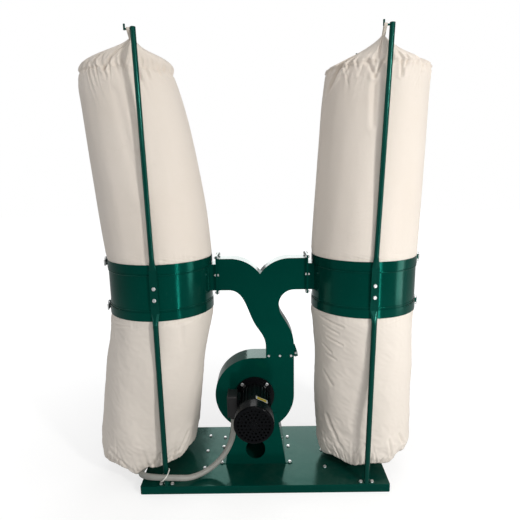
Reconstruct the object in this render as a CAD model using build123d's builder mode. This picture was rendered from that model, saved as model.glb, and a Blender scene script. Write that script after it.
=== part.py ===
from build123d import *
import os
from math import cos, pi, radians, sin, tan

# Two-bag dust collector. Millimetres, +Z up, origin on the floor under the middle of the base,
# +X to the right as seen from the motor side, +Y away from the motor towards the hose inlets.

# ---------------------------------------------------------------- driving dimensions
base_length = 1200
base_overhang = 13
base_height = 40
base_sheet = 3
rib_spacing = 305
rib_flange = 40
rib_bolt_rows = (-122, 21, 164)

drum_radius = 247
drum_sheet = 1.5
drum_bottom = 865
drum_height = 260
bead_radius = 3
bead_inset = 50

cloth = 1.6
cloth_gap = 0.4
sleeve_depth = 42
hoop_width = 40
hoop_sheet = 1.6
hoop_inset = 1

leg_radius = 12.5
rod_radius = 11
tube_wall = 1.5
strap_thickness = 5
leg_strap_width = 38
rod_strap_width = 34
strap_gap = 0.8
tube_gap = 0.2
rod_top = 2085
hook_radius = 4
hook_reach = 34
hook_rise = 15

blower_x = -46
blower_z = 400
housing_radius = 200
housing_front = -45
housing_depth = 120
housing_sheet = 2.5
scroll_sheet = 2
outlet_left = 14
inlet_radius = 80
outlet_stub = 24

duct_depth = 90
duct_sheet = 2
arm_top = 1108
arm_bottom = 952
arm_end = 214
neck_length = 34
notch_x = -10
notch_z = 1032
waist_x = 80
waist_z = 878
flange_sheet = 4
flange_border = 16

plenum_radius = 120
plenum_depth = 75
spigot_radius = 50
spigot_wall = 1.5
spigot_length = 65
spigot_pitch_radius = 62

pedestal_width = 310
pedestal_depth = 240
pedestal_top = 300
pedestal_lean = 42
pedestal_sheet = 3
pedestal_hole = 50
foot_flange = 33

bolt_radius = 4
bolt_clearance = 0.5
fit_gap = 0.5
running_gap = 0.05

conduit_radius = 14

# ---------------------------------------------------------------- derived places
drum_top = drum_bottom + drum_height
drum_x = arm_end + neck_length + drum_radius
base_width = 2 * (drum_radius + base_overhang)
cloth_outer = drum_radius + cloth_gap + cloth
hoop_inner = cloth_outer + cloth_gap
hoop_outer = hoop_inner + hoop_sheet
strap_seat = hoop_outer + strap_gap
tube_y = strap_seat + tube_gap + leg_radius
foot_y = drum_radius
housing_back = housing_front + housing_depth
housing_top = blower_z + housing_radius
housing_right = blower_x + housing_radius
duct_front = -duct_depth / 2
blower_middle = (housing_front + housing_back) / 2
motor_flange_radius = 99.5
drum_bolt_heights = (drum_bottom + 101, drum_bottom + 154)

# One row for each drum: its side, then where its legs stand, its straps sit and its rods end.
sides = {
    "left": {"sign": -1, "foot_x": -drum_x + 21, "strap_x": -drum_x + 19, "rod_x": -drum_x + 1},
    "right": {"sign": 1, "foot_x": drum_x - 7, "strap_x": drum_x, "rod_x": drum_x + 32},
}

STANDING = (Align.CENTER, Align.CENTER, Align.MIN)
HANGING = (Align.CENTER, Align.CENTER, Align.MAX)
REARWARD = (Align.CENTER, Align.MIN, Align.MIN)

os.makedirs("parts", exist_ok=True)


def save(piece, name):
    """Label a finished piece and write it to its own file."""
    piece.label = name
    export_step(piece, f"parts/{name}.step")


def across(y):
    """Upright plane at this depth, seen from the motor side; an extrude runs towards the motor."""
    return Plane.XZ.offset(-y)


def bolt(grip, radius=bolt_radius):
    """Hex bolt with washer and nut: the washer sits on z = 0 and the nut starts at -grip."""
    with BuildPart(mode=Mode.PRIVATE) as made:
        Cylinder(radius, grip + 2.4 * radius, align=HANGING)
        Cylinder(2.1 * radius, 0.35 * radius, align=STANDING)
        with BuildSketch(Plane.XY.offset(0.35 * radius)):
            RegularPolygon(1.6 * radius, 6, major_radius=False)
        extrude(amount=1.3 * radius)
        with BuildSketch(Plane.XY.offset(-grip)):
            RegularPolygon(1.6 * radius, 6, major_radius=False)
        extrude(amount=-1.5 * radius)
    return made.part


# ---------------------------------------------------------------- base
foot_plate_length = 82
foot_plate_width = 28
foot_bolt_spacing = 54
foot_bolt_y = foot_y - 3
pedestal_y = housing_front - 45 + pedestal_depth / 2
pedestal_bolt_x = pedestal_width / 2 + 20
pedestal_bolt_rows = (pedestal_y - 112, pedestal_y + 24, pedestal_y + 112)

foot_bolt_shifts = (-foot_bolt_spacing / 2, foot_bolt_spacing / 2)
foot_bolt_points = [
    (place["foot_x"] + dx, s * foot_bolt_y)
    for place in sides.values()
    for dx in foot_bolt_shifts
    for s in (-1, 1)
]
rib_bolt_points = [(x, y) for x in (-rib_spacing, rib_spacing) for y in rib_bolt_rows]
pedestal_bolt_points = [
    (blower_x + dx, y) for dx in (-pedestal_bolt_x, pedestal_bolt_x) for y in pedestal_bolt_rows
]

rib_height = base_height - base_sheet
inner_width = base_width - 2 * base_sheet
with BuildPart() as base_tray:
    Box(base_length, base_width, base_height, align=STANDING)
    fillet(base_tray.edges().filter_by(Axis.Z), 8)
    fillet(base_tray.faces().sort_by(Axis.Z)[-1].edges(), 2.5)
    with BuildSketch():
        RectangleRounded(base_length - 2 * base_sheet, inner_width, 6)
    extrude(amount=rib_height, mode=Mode.SUBTRACT)
    with Locations((-rib_spacing, 0), (0, 0), (rib_spacing, 0)):
        Box(rib_flange, inner_width, base_sheet, align=STANDING)
        with Locations((rib_flange / 2 - base_sheet, 0)):
            Box(base_sheet, inner_width, rib_height, align=STANDING)
    top_holes = foot_bolt_points + rib_bolt_points + pedestal_bolt_points
    with Locations(*[(x, y, base_height) for x, y in top_holes]):
        Hole(bolt_radius + bolt_clearance, depth=base_sheet * 2)
save(base_tray.part, "base_tray")

# ---------------------------------------------------------------- legs and rods
transition = 50
leg_strap_bottom = drum_bottom + 40
leg_strap_top = drum_bottom + 195
rod_strap_bottom = drum_bottom + 80
rod_strap_top = drum_top - 25
foot_plate_sheet = 4


def leg(place, y_side):
    """Round tube on a foot plate, pressed flat at the top where it is bolted to the drum."""
    start = Vector(place["foot_x"], y_side * foot_y, base_height + foot_plate_sheet)
    end = Vector(place["strap_x"], y_side * tube_y, leg_strap_bottom - transition)
    along = Plane(origin=start, x_dir=(1, 0, 0), z_dir=end - start)
    strap_y = y_side * (strap_seat + strap_thickness / 2)
    with BuildPart(mode=Mode.PRIVATE) as made:
        with BuildSketch(along):
            Circle(leg_radius)
            Circle(leg_radius - tube_wall, mode=Mode.SUBTRACT)
        extrude(amount=(end - start).length)
        with BuildSketch(Plane(origin=end, x_dir=(1, 0, 0), z_dir=end - start)):
            Circle(leg_radius)
        with BuildSketch(Plane(origin=(place["strap_x"], strap_y, leg_strap_bottom))):
            Ellipse(leg_strap_width / 2, strap_thickness / 2)
        loft()
        with BuildSketch(Plane(origin=(place["strap_x"], strap_y, leg_strap_bottom - 1))):
            Rectangle(leg_strap_width, strap_thickness)
        extrude(amount=leg_strap_top - leg_strap_bottom + 1)
        with BuildSketch(Plane.XY.offset(base_height)):
            with Locations((place["foot_x"], y_side * foot_bolt_y)):
                RectangleRounded(foot_plate_length, foot_plate_width, 5)
            with Locations(*[(place["foot_x"] + dx, y_side * foot_bolt_y) for dx in foot_bolt_shifts]):
                Circle(bolt_radius + bolt_clearance, mode=Mode.SUBTRACT)
        extrude(amount=foot_plate_sheet)
        with Locations(*[Location((place["strap_x"], strap_y, z), (90, 0, 0)) for z in drum_bolt_heights]):
            Cylinder(bolt_radius + bolt_clearance, 2 * strap_thickness, mode=Mode.SUBTRACT)
    return made.part


def rod(place, y_side):
    """Round tube with a flattened foot on the leg's strap and a hook for the bag's loop on top."""
    start = Vector(place["strap_x"], y_side * tube_y, rod_strap_top + transition)
    end = Vector(place["rod_x"], y_side * tube_y, rod_top)
    strap_y = y_side * (strap_seat + 1.5 * strap_thickness)
    with BuildPart(mode=Mode.PRIVATE) as made:
        with BuildSketch(Plane(origin=start, x_dir=(1, 0, 0), z_dir=end - start)):
            Circle(rod_radius)
            Circle(rod_radius - tube_wall, mode=Mode.SUBTRACT)
        extrude(amount=(end - start).length)
        with BuildSketch(Plane(origin=end, x_dir=(1, 0, 0), z_dir=end - start)):
            Circle(rod_radius)
        extrude(amount=-tube_wall)
        with BuildSketch(Plane(origin=start, x_dir=(1, 0, 0), z_dir=end - start)):
            Circle(rod_radius)
        with BuildSketch(Plane(origin=(place["strap_x"], strap_y, rod_strap_top))):
            Ellipse(rod_strap_width / 2, strap_thickness / 2)
        loft()
        with BuildSketch(Plane(origin=(place["strap_x"], strap_y, rod_strap_bottom))):
            Rectangle(rod_strap_width, strap_thickness)
        extrude(amount=rod_strap_top - rod_strap_bottom + 1)
        with Locations(Location((place["rod_x"] - hook_reach / 2, y_side * tube_y, rod_top - 8), (0, 90, 0))):
            Cylinder(hook_radius, hook_reach)
        with Locations((place["rod_x"] - hook_reach, y_side * tube_y, rod_top - 8 - hook_radius)):
            Cylinder(hook_radius, hook_rise + 2 * hook_radius, align=STANDING)
        with Locations(*[Location((place["strap_x"], strap_y, z), (90, 0, 0)) for z in drum_bolt_heights]):
            Cylinder(bolt_radius + bolt_clearance, 2 * strap_thickness, mode=Mode.SUBTRACT)
    return made.part


for side, place in sides.items():
    with BuildPart() as legs:
        add([leg(place, -1), leg(place, 1)])
    save(legs.part, f"legs_{side}")
    with BuildPart() as rods:
        add([rod(place, -1), rod(place, 1)])
    save(rods.part, f"bag_rods_{side}")

with BuildPart() as base_bolts:
    with Locations(*[Location((x, y, base_height + foot_plate_sheet)) for x, y in foot_bolt_points]):
        add(bolt(foot_plate_sheet + base_sheet))
    with Locations(*[Location((x, y, base_height)) for x, y in rib_bolt_points]):
        add(bolt(base_sheet))
    with Locations(*[Location((x, y, base_height + pedestal_sheet)) for x, y in pedestal_bolt_points]):
        add(bolt(pedestal_sheet + base_sheet))
save(base_bolts.part, "base_bolts")

# ---------------------------------------------------------------- drums
arm_height = arm_top - arm_bottom
arm_middle = (arm_top + arm_bottom) / 2
neck_top = drum_top - sleeve_depth - 1
neck_height = neck_top - arm_bottom
neck_middle = (neck_top + arm_bottom) / 2
flange_face = arm_end + flange_sheet
pad_width = 40
pad_depth = 12
pad_bottom = drum_bottom + 70
pad_top = drum_bottom + 190


def flange_points():
    """Bolt places on an arm flange, as (y, z)."""
    y = duct_depth / 2 + flange_border / 2
    rise = arm_height / 2 + flange_border / 2
    return [(s * y, arm_middle + dz) for s in (-1, 1) for dz in (-rise, 0, rise)]


for side, place in sides.items():
    sign = place["sign"]
    centre = sign * drum_x
    neck_end = -sign * (drum_x - flange_face)
    with BuildPart(Plane(origin=(centre, 0, 0))) as drum:
        with BuildSketch(Plane(origin=(centre, 0, 0), x_dir=(1, 0, 0), z_dir=(0, -1, 0))):
            with Locations((drum_radius - drum_sheet / 2, drum_bottom + drum_height / 2)):
                Rectangle(drum_sheet, drum_height)
            with Locations((drum_radius, drum_bottom + bead_inset), (drum_radius, drum_top - bead_inset)):
                Circle(bead_radius)
        revolve(axis=Axis((centre, 0, 0), (0, 0, 1)))
        with Locations((0, 0, (pad_bottom + pad_top) / 2)):
            with Locations(*[(place["strap_x"] - centre, s * (strap_seat - pad_depth / 2)) for s in (-1, 1)]):
                Box(pad_width, pad_depth, pad_top - pad_bottom)
        with Locations((neck_end / 2 - sign * 100, 0, neck_middle)):
            Box(abs(neck_end) - 200, duct_depth, neck_height)
        with Locations((neck_end + sign * flange_sheet / 2, 0, arm_middle)):
            Box(flange_sheet, duct_depth + 2 * flange_border, arm_height + 2 * flange_border)
        Cylinder(drum_radius - drum_sheet, drum_top + 10, align=STANDING, mode=Mode.SUBTRACT)
        neck_inside = (abs(neck_end) + 10, duct_depth - 2 * duct_sheet, neck_height - 2 * duct_sheet)
        with Locations((neck_end / 2, 0, neck_middle)):
            Box(*neck_inside, mode=Mode.SUBTRACT)
        with Locations(*[Location((neck_end, y, z), (0, 90, 0)) for y, z in flange_points()]):
            Cylinder(bolt_radius + bolt_clearance, 4 * flange_sheet, mode=Mode.SUBTRACT)
        with Locations(*[Location((place["strap_x"] - centre, 0, z), (90, 0, 0)) for z in drum_bolt_heights]):
            Cylinder(bolt_radius + bolt_clearance, 3 * drum_radius, mode=Mode.SUBTRACT)
    save(drum.part, f"drum_{side}")

with BuildPart() as drum_bolts:
    for place in sides.values():
        strap_grip = 2 * strap_thickness + strap_seat - drum_radius + drum_sheet
        for z in drum_bolt_heights:
            with Locations(
                Location((place["strap_x"], -strap_seat - 2 * strap_thickness, z), (90, 0, 0)),
                Location((place["strap_x"], strap_seat + 2 * strap_thickness, z), (-90, 0, 0)),
            ):
                add(bolt(strap_grip + 1.5))
save(drum_bolts.part, "drum_bolts")

# ---------------------------------------------------------------- hoop clamps and their latches
pin_r, pin_t = hoop_outer + 7, 20
bail_r, bail_t = hoop_outer + 11, 36
pin_radius = 2
wire_radius = 1.5
side_wire_radius = 1.2
ear_half = 15
ear_sheet = 3
bail_half = 20.5
keeper_t = -26
bail_end_t = -32.2
lever_tilt = -9
lever_length = 58

hoop_edge = hoop_inset + hoop_width / 2
hoop_heights = {"upper": drum_top - hoop_edge, "lower": drum_bottom + hoop_edge}

for side, place in sides.items():
    sign = place["sign"]
    for level, middle in hoop_heights.items():
        local = Plane(origin=(sign * drum_x, 0, middle), x_dir=(sign, 0, 0), z_dir=(0, 0, 1))
        with BuildPart(local) as hoop:
            Cylinder(hoop_outer, hoop_width)
            with Locations((hoop_inner, keeper_t)):
                Box(4, 9, 26)
            with Locations((hoop_inner + 7.5, keeper_t)):
                Box(18, 6, 22)
            with Locations((hoop_inner + 0.8, pin_t)):
                Box(4, 24, 2 * (ear_half + ear_sheet))
            with Locations(*[(pin_r - 2.5, pin_t, s * (ear_half + ear_sheet / 2)) for s in (-1, 1)]):
                Box(14, 12, ear_sheet)
            Cylinder(hoop_inner, hoop_width + 2, mode=Mode.SUBTRACT)
            with Locations((hoop_inner, 0)):
                Box(20, 16, hoop_width + 2, mode=Mode.SUBTRACT)
            with Locations((pin_r, pin_t)):
                Cylinder(pin_radius, 2 * (ear_half + ear_sheet))
        save(hoop.part, f"hoop_{level}_{side}")

        with BuildPart(local) as lever:
            with Locations(Location((pin_r, pin_t, 0), (0, 0, -lever_tilt))):
                Cylinder(pin_radius + 2.2, 2 * ear_half - 1)
                with Locations((0, lever_length / 2)):
                    Box(2, lever_length, 2 * ear_half - 2)
                with Locations((2, lever_length)):
                    Box(6, 2, 2 * ear_half - 2)
            with Locations(((bail_r + pin_r) / 2 - 0.5, bail_t)):
                Box(bail_r - pin_r + 1, 6.4, 2 * ear_half - 2)
            with Locations((bail_r, bail_t)):
                Cylinder(wire_radius + 1.7, 2 * ear_half - 2)
                Cylinder(wire_radius + running_gap, 2 * ear_half + 4, mode=Mode.SUBTRACT)
            with Locations((pin_r, pin_t)):
                Cylinder(pin_radius + running_gap, 2 * ear_half + 4, mode=Mode.SUBTRACT)
        save(lever.part, f"latch_lever_{level}_{side}")

        with BuildPart(local) as bail:
            with Locations((bail_r, bail_t), (bail_r, bail_end_t)):
                Cylinder(wire_radius, 2 * bail_half + 2 * wire_radius)
            with Locations(
                Location((bail_r, (bail_t + bail_end_t) / 2, bail_half), (90, 0, 0)),
                Location((bail_r, (bail_t + bail_end_t) / 2, -bail_half), (90, 0, 0)),
            ):
                Cylinder(side_wire_radius, bail_t - bail_end_t)
        save(bail.part, f"latch_bail_{level}_{side}")

# ---------------------------------------------------------------- bags
# Each row is (height, lean to the right, spare radius) of the hanging cloth, from the drum outwards.
ridge_half_width = 14
ridge_inset = 13
filter_bag_shape = {
    "left": [(1330, -20, 0), (1600, -53, -7), (1800, -82, -20), (1900, -97, -28), (1965, -102, -40)],
    "right": [(1335, 8, -3), (1600, 20, -8), (1868, 33, -12), (1960, 43, -17)],
}
filter_bag_ridge = {"left": (2054, -17), "right": (2048, 2)}
dust_bag_shape = {
    "left": [(800, -10, -3), (600, -46, 1), (355, -83, 0), (140, -113, -6), (100, -117, -34), (85, -117, -79)],
    "right": [(800, 2, -3), (489, 10, -8), (150, 23, -13), (90, 25, -27), (68, 25, -69)],
}
sleeve_over = 5


def round_sections(rows, shrink):
    """Round sections of one bag, each on its own level."""
    return [Face(Wire.make_circle(radius - shrink, Plane(origin=(x, 0, z)))) for z, x, radius in rows]


def hung_rows(side, start, shape):
    """Rows of (height, centre x, radius) for one bag, from its clamped end on."""
    centre = sides[side]["sign"] * drum_x
    return [(start, centre, cloth_outer)] + [(z, centre + lean, cloth_outer + spare) for z, lean, spare in shape]


def ridge_section(side, shrink):
    """Narrow top edge of a filter bag, between its two hanging points."""
    z, lean = filter_bag_ridge[side]
    level = Plane(origin=(sides[side]["sign"] * drum_x + lean, 0, z - shrink))
    return Face(Wire.make_ellipse(ridge_half_width - shrink, cloth_outer - ridge_inset - shrink, level))


for side, place in sides.items():
    centre = place["sign"] * drum_x
    rows = hung_rows(side, drum_top + sleeve_over, filter_bag_shape[side])
    with BuildPart() as filter_bag:
        for shrink, mode in ((0, Mode.ADD), (cloth, Mode.SUBTRACT)):
            loft(round_sections(rows, shrink), ruled=True, mode=mode)
            loft(round_sections(rows[-1:], shrink) + [ridge_section(side, shrink)], mode=mode)
        with BuildSketch(Plane.XY.offset(drum_top - sleeve_depth)):
            with Locations((centre, 0)):
                Circle(cloth_outer)
                Circle(cloth_outer - cloth, mode=Mode.SUBTRACT)
        extrude(amount=sleeve_depth + sleeve_over)
    save(filter_bag.part, f"filter_bag_{side}")

    rows = hung_rows(side, drum_bottom - sleeve_over, dust_bag_shape[side])
    floor_z, floor_x, floor_radius = rows[-1]
    with BuildPart() as dust_bag:
        loft(round_sections(rows, 0), ruled=True)
        inner_rows = rows[:-1] + [(floor_z + cloth, floor_x, floor_radius)]
        loft(round_sections(inner_rows, cloth), ruled=True, mode=Mode.SUBTRACT)
        with BuildSketch(Plane.XY.offset(drum_bottom - sleeve_over)):
            with Locations((centre, 0)):
                Circle(cloth_outer)
                Circle(cloth_outer - cloth, mode=Mode.SUBTRACT)
        extrude(amount=sleeve_depth + sleeve_over)
    save(dust_bag.part, f"dust_bag_{side}")

loop_width = 14
with BuildPart() as bag_loops:
    for side, place in sides.items():
        hook_z = rod_top - 8
        for y_side in (-1, 1):
            hook_x = place["rod_x"] - hook_reach + 2 * hook_radius + loop_width / 2
            with Locations(Location((hook_x, y_side * tube_y, hook_z), (0, 90, 0))):
                Cylinder(hook_radius + 2.5, loop_width)
                Cylinder(hook_radius + 0.4, loop_width + 2, mode=Mode.SUBTRACT)
            with Locations(Location((hook_x, y_side * (tube_y - 13), hook_z - 13), (-45 * y_side, 0, 0))):
                Box(loop_width, 2, 24)
save(bag_loops.part, "bag_loops")

# ---------------------------------------------------------------- pedestal
with BuildPart() as pedestal:
    for inset, mode in ((0, Mode.ADD), (pedestal_sheet, Mode.SUBTRACT)):
        with BuildSketch(Plane(origin=(blower_x, pedestal_y, base_height))):
            Rectangle(pedestal_width - 2 * inset, pedestal_depth - 2 * inset)
        with BuildSketch(Plane(origin=(blower_x, pedestal_y, pedestal_top))):
            narrower = 2 * pedestal_lean + 2 * inset
            Rectangle(pedestal_width - narrower, pedestal_depth - narrower)
        loft(mode=mode)
    with Locations((blower_x, blower_middle, blower_z)):
        with Locations(Location((0, 0, 0), (90, 0, 0))):
            Cylinder(housing_radius + fit_gap, housing_depth + 2 * fit_gap, mode=Mode.SUBTRACT)
        with Locations(Location((0, housing_front - housing_depth / 2 - blower_middle, 0), (90, 0, 0))):
            Cylinder(motor_flange_radius + fit_gap, housing_depth, mode=Mode.SUBTRACT)
    with Locations((blower_x, housing_back, pedestal_top - 55)):
        Box(pedestal_width, pedestal_depth, 100, align=REARWARD, mode=Mode.SUBTRACT)
    with Locations(Location((blower_x, pedestal_y - pedestal_depth / 2, 116), (90, 0, 0))):
        Cylinder(pedestal_hole, 80, mode=Mode.SUBTRACT)
    with BuildSketch(Plane.XY.offset(base_height)):
        flange_shift = (pedestal_width + foot_flange - pedestal_sheet) / 2
        for s in (-1, 1):
            with Locations((blower_x + s * flange_shift, pedestal_y)):
                Rectangle(foot_flange + pedestal_sheet, pedestal_depth)
        with Locations(*pedestal_bolt_points):
            Circle(bolt_radius + bolt_clearance, mode=Mode.SUBTRACT)
    extrude(amount=pedestal_sheet)
save(pedestal.part, "pedestal")


# ---------------------------------------------------------------- blower housing
def housing_outline(inset):
    """Round housing with a straight shoulder that runs up to the outlet on the right."""
    with Locations((blower_x, blower_z)):
        Circle(housing_radius - inset)
    with Locations((blower_x + (housing_radius - inset) / 2, blower_z + (housing_radius - inset) / 2)):
        Rectangle(housing_radius - inset, housing_radius - inset)


shaft_hole = 45
flange_pitch = 87.5
motor_bolt_angles = (45, 135, 225, 315)
inlet_bolt_pitch = 100


def about_axis(pitch, angles):
    """Places round the blower axis, as (x, z)."""
    return [(blower_x + pitch * cos(radians(a)), blower_z + pitch * sin(radians(a))) for a in angles]


motor_bolt_places = about_axis(flange_pitch, motor_bolt_angles)
inlet_bolt_places = about_axis(inlet_bolt_pitch, range(30, 390, 60))

with BuildPart() as housing_front_plate:
    with BuildSketch(across(housing_front + housing_sheet)):
        housing_outline(0)
        with Locations((blower_x, blower_z)):
            Circle(shaft_hole, mode=Mode.SUBTRACT)
        with Locations(*motor_bolt_places):
            Circle(bolt_radius + bolt_clearance, mode=Mode.SUBTRACT)
    extrude(amount=housing_sheet)
save(housing_front_plate.part, "housing_front_plate")

with BuildPart() as housing_back_plate:
    with BuildSketch(across(housing_back)):
        housing_outline(0)
        with Locations((blower_x, blower_z)):
            Circle(inlet_radius, mode=Mode.SUBTRACT)
        with Locations(*inlet_bolt_places):
            Circle(3 + bolt_clearance, mode=Mode.SUBTRACT)
    extrude(amount=housing_sheet)
save(housing_back_plate.part, "housing_back_plate")

stub_left = outlet_left + duct_sheet + fit_gap
stub_right = housing_right - duct_sheet - fit_gap
stub_front = duct_front + duct_sheet + fit_gap
outlet_width = stub_right - stub_left
outlet_middle = (stub_right + stub_left) / 2
stub_screw_places = (outlet_left + 14, outlet_middle, housing_right - 14)
stub_screw_z = housing_top + 10
screw_radius = 2.9
lug_length = 22
lug_width = 34
lug_sheet = 4
with BuildPart() as housing_scroll:
    with BuildSketch(across(housing_back - housing_sheet)):
        housing_outline(0)
        with BuildSketch(across(housing_back - housing_sheet), mode=Mode.PRIVATE) as inside:
            housing_outline(scroll_sheet)
        add(inside.sketch, mode=Mode.SUBTRACT)
    extrude(amount=housing_depth - 2 * housing_sheet)
    with Locations((outlet_middle, 0, housing_top - scroll_sheet)):
        Box(outlet_width, 2 * abs(stub_front), outlet_stub + scroll_sheet, align=STANDING)
        Box(
            outlet_width - 2 * scroll_sheet,
            2 * abs(stub_front) - 2 * scroll_sheet,
            3 * outlet_stub,
            align=(Align.CENTER, Align.CENTER, Align.CENTER),
            mode=Mode.SUBTRACT,
        )
    with Locations(*[Location((x, 0, stub_screw_z), (90, 0, 0)) for x in stub_screw_places]):
        Cylinder(screw_radius + bolt_clearance, 2 * duct_depth, mode=Mode.SUBTRACT)
    with Locations((housing_right - scroll_sheet, 0, housing_top)):
        Box(lug_length + scroll_sheet, lug_width, lug_sheet, align=(Align.MIN, Align.CENTER, Align.MAX))
    with Locations((housing_right + lug_length / 2, 0, housing_top)):
        Hole(bolt_radius + bolt_clearance, depth=3 * lug_sheet)
save(housing_scroll.part, "housing_scroll")

# ---------------------------------------------------------------- inlet manifold
spigot_places = about_axis(spigot_pitch_radius, (90, 210, 330))
manifold_sheet = 2
plenum_back = housing_back + plenum_depth
with BuildPart() as inlet_manifold:
    with BuildSketch(across(plenum_back)):
        with Locations((blower_x, blower_z)):
            Circle(plenum_radius)
    extrude(amount=plenum_depth)
    with BuildSketch(across(plenum_back + spigot_length)):
        with Locations(*spigot_places):
            Circle(spigot_radius)
    extrude(amount=spigot_length)
    with BuildSketch(across(plenum_back - manifold_sheet)):
        with Locations((blower_x, blower_z)):
            Circle(plenum_radius - manifold_sheet)
    extrude(amount=plenum_depth - 2 * manifold_sheet, mode=Mode.SUBTRACT)
    with BuildSketch(across(plenum_back + spigot_length)):
        with Locations(*spigot_places):
            Circle(spigot_radius - spigot_wall)
    extrude(amount=spigot_length + 2 * manifold_sheet, mode=Mode.SUBTRACT)
    with BuildSketch(across(housing_back + 2 * manifold_sheet)):
        with Locations((blower_x, blower_z)):
            Circle(inlet_radius)
        with Locations(*inlet_bolt_places):
            Circle(3 + bolt_clearance)
    extrude(amount=4 * manifold_sheet, mode=Mode.SUBTRACT)
save(inlet_manifold.part, "inlet_manifold")

# ---------------------------------------------------------------- Y duct
shoulder_run = 140
shoulder_drop = 24
underside_run = 76
belly_x = -165


def duct_block(inset, spare):
    """Solid Y shape, set in from the duct's skin; spare carries its three mouths past their ends."""
    reach = arm_end + spare
    top, bottom = arm_top - inset, arm_bottom + inset
    right, left = housing_right - inset, outlet_left + inset
    mouth = housing_top - spare
    notch = (notch_x, notch_z - inset)
    underside = (waist_x + underside_run, bottom)
    waist = (waist_x - inset, waist_z)
    swing = (waist_x + 27 - inset, waist_z - 78)
    with BuildPart(mode=Mode.PRIVATE) as block:
        with BuildSketch(across(duct_depth / 2 - inset)):
            with BuildLine():
                Polyline((-reach, bottom), (-reach, top), (notch_x - shoulder_run, top))
                ThreePointArc((notch_x - shoulder_run, top), (notch_x - 57, top - shoulder_drop), notch)
                ThreePointArc(notch, (notch_x + 57, top - shoulder_drop), (notch_x + shoulder_run, top))
                Polyline((notch_x + shoulder_run, top), (reach, top), (reach, bottom), underside)
                TangentArc(underside, waist, tangent=(-1, 0))
                Spline(waist, swing, (right, housing_top + 62), tangents=((0, -1), (0, -1)))
                Polyline((right, housing_top + 62), (right, mouth), (left, mouth), (left, housing_top + 58))
                Spline(
                    (left, housing_top + 58),
                    (inset - 35, housing_top + 172),
                    (inset - 83, arm_bottom - 68),
                    (belly_x, bottom),
                    tangents=((0, 1), (-1, 0)),
                )
                Line((belly_x, bottom), (-reach, bottom))
            make_face()
        extrude(amount=duct_depth - 2 * inset)
    return block.part


with BuildPart() as y_duct:
    add(duct_block(0, 0))
    add(duct_block(duct_sheet, 20), mode=Mode.SUBTRACT)
    for s in (-1, 1):
        with BuildSketch(Plane(origin=(s * arm_end, 0, arm_middle), x_dir=(0, 1, 0), z_dir=(s, 0, 0))):
            Rectangle(duct_depth + 2 * flange_border, arm_height + 2 * flange_border)
            Rectangle(duct_depth - 2 * duct_sheet, arm_height - 2 * duct_sheet, mode=Mode.SUBTRACT)
            with Locations(*[(y, (z - arm_middle) * s) for y, z in flange_points()]):
                Circle(bolt_radius + bolt_clearance, mode=Mode.SUBTRACT)
        extrude(amount=flange_sheet)
    with Locations((housing_right - duct_sheet, 0, housing_top)):
        Box(lug_length + duct_sheet, lug_width, lug_sheet, align=(Align.MIN, Align.CENTER, Align.MIN))
    with BuildSketch(across(lug_width / 2)):
        with BuildLine():
            Polyline(
                (housing_right - duct_sheet / 2, housing_top + lug_sheet),
                (housing_right - duct_sheet / 2, housing_top + 48),
                (housing_right + 8, housing_top + 48),
                (housing_right + lug_length, housing_top + lug_sheet),
                close=True,
            )
        make_face()
    extrude(amount=3)
    with Locations((housing_right + lug_length / 2, 0, housing_top + lug_sheet)):
        Cylinder(bolt_radius + bolt_clearance, 6 * lug_sheet, mode=Mode.SUBTRACT)
    with Locations(*[Location((x, 0, stub_screw_z), (90, 0, 0)) for x in stub_screw_places]):
        Cylinder(screw_radius + bolt_clearance, 2 * duct_depth, mode=Mode.SUBTRACT)
save(y_duct.part, "y_duct")

# ---------------------------------------------------------------- duct and inlet bolts
with BuildPart() as duct_bolts:
    for s in (-1, 1):
        grip = 2 * flange_sheet
        with Locations(*[Location((s * arm_end, y, z), (0, -90 * s, 0)) for y, z in flange_points()]):
            add(bolt(grip, 3.5))
    with Locations(*[Location((x, duct_front, stub_screw_z), (90, 0, 0)) for x in stub_screw_places]):
        Cylinder(6, 2.4, align=STANDING)
        Cylinder(screw_radius, 7, align=HANGING)
    with Locations((housing_right + lug_length / 2, 0, housing_top + lug_sheet)):
        add(bolt(2 * lug_sheet))
save(duct_bolts.part, "duct_bolts")

with BuildPart() as inlet_bolts:
    inlet_face = housing_back + manifold_sheet
    with Locations(*[Location((x, inlet_face, z), (-90, 0, 0)) for x, z in inlet_bolt_places]):
        Cylinder(5.5, 3, align=STANDING)
        Cylinder(3, 9, align=HANGING)
save(inlet_bolts.part, "inlet_bolts")

# ---------------------------------------------------------------- impeller
shaft_impeller_radius = 14
impeller_radius = 152
impeller_back = -24
impeller_disc = 3
blade_height = 62
blade_count = 8
blade_sheet = 3
hub_radius = 32

with BuildPart() as impeller_wheel:
    with BuildSketch(across(impeller_back + impeller_disc)):
        with Locations((blower_x, blower_z)):
            Circle(impeller_radius)
            Circle(hub_radius - 8, mode=Mode.SUBTRACT)
    extrude(amount=impeller_disc)
    with BuildSketch(across(impeller_back + impeller_disc + blade_height)):
        with Locations((blower_x, blower_z)):
            with PolarLocations(95, blade_count):
                with Locations(Location((0, 0), 28)):
                    Rectangle(108, blade_sheet)
            Circle(hub_radius + 4, mode=Mode.SUBTRACT)
    extrude(amount=blade_height)
save(impeller_wheel.part, "impeller_wheel")

with BuildPart() as impeller_hub:
    with BuildSketch(across(impeller_back)):
        with Locations((blower_x, blower_z)):
            Circle(hub_radius)
            Circle(shaft_impeller_radius + running_gap, mode=Mode.SUBTRACT)
    extrude(amount=8)
    with BuildSketch(across(12)):
        with Locations((blower_x, blower_z)):
            Circle(hub_radius - 9)
            Circle(shaft_impeller_radius + running_gap, mode=Mode.SUBTRACT)
    extrude(amount=12 - impeller_back)
save(impeller_hub.part, "impeller_hub")

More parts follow.
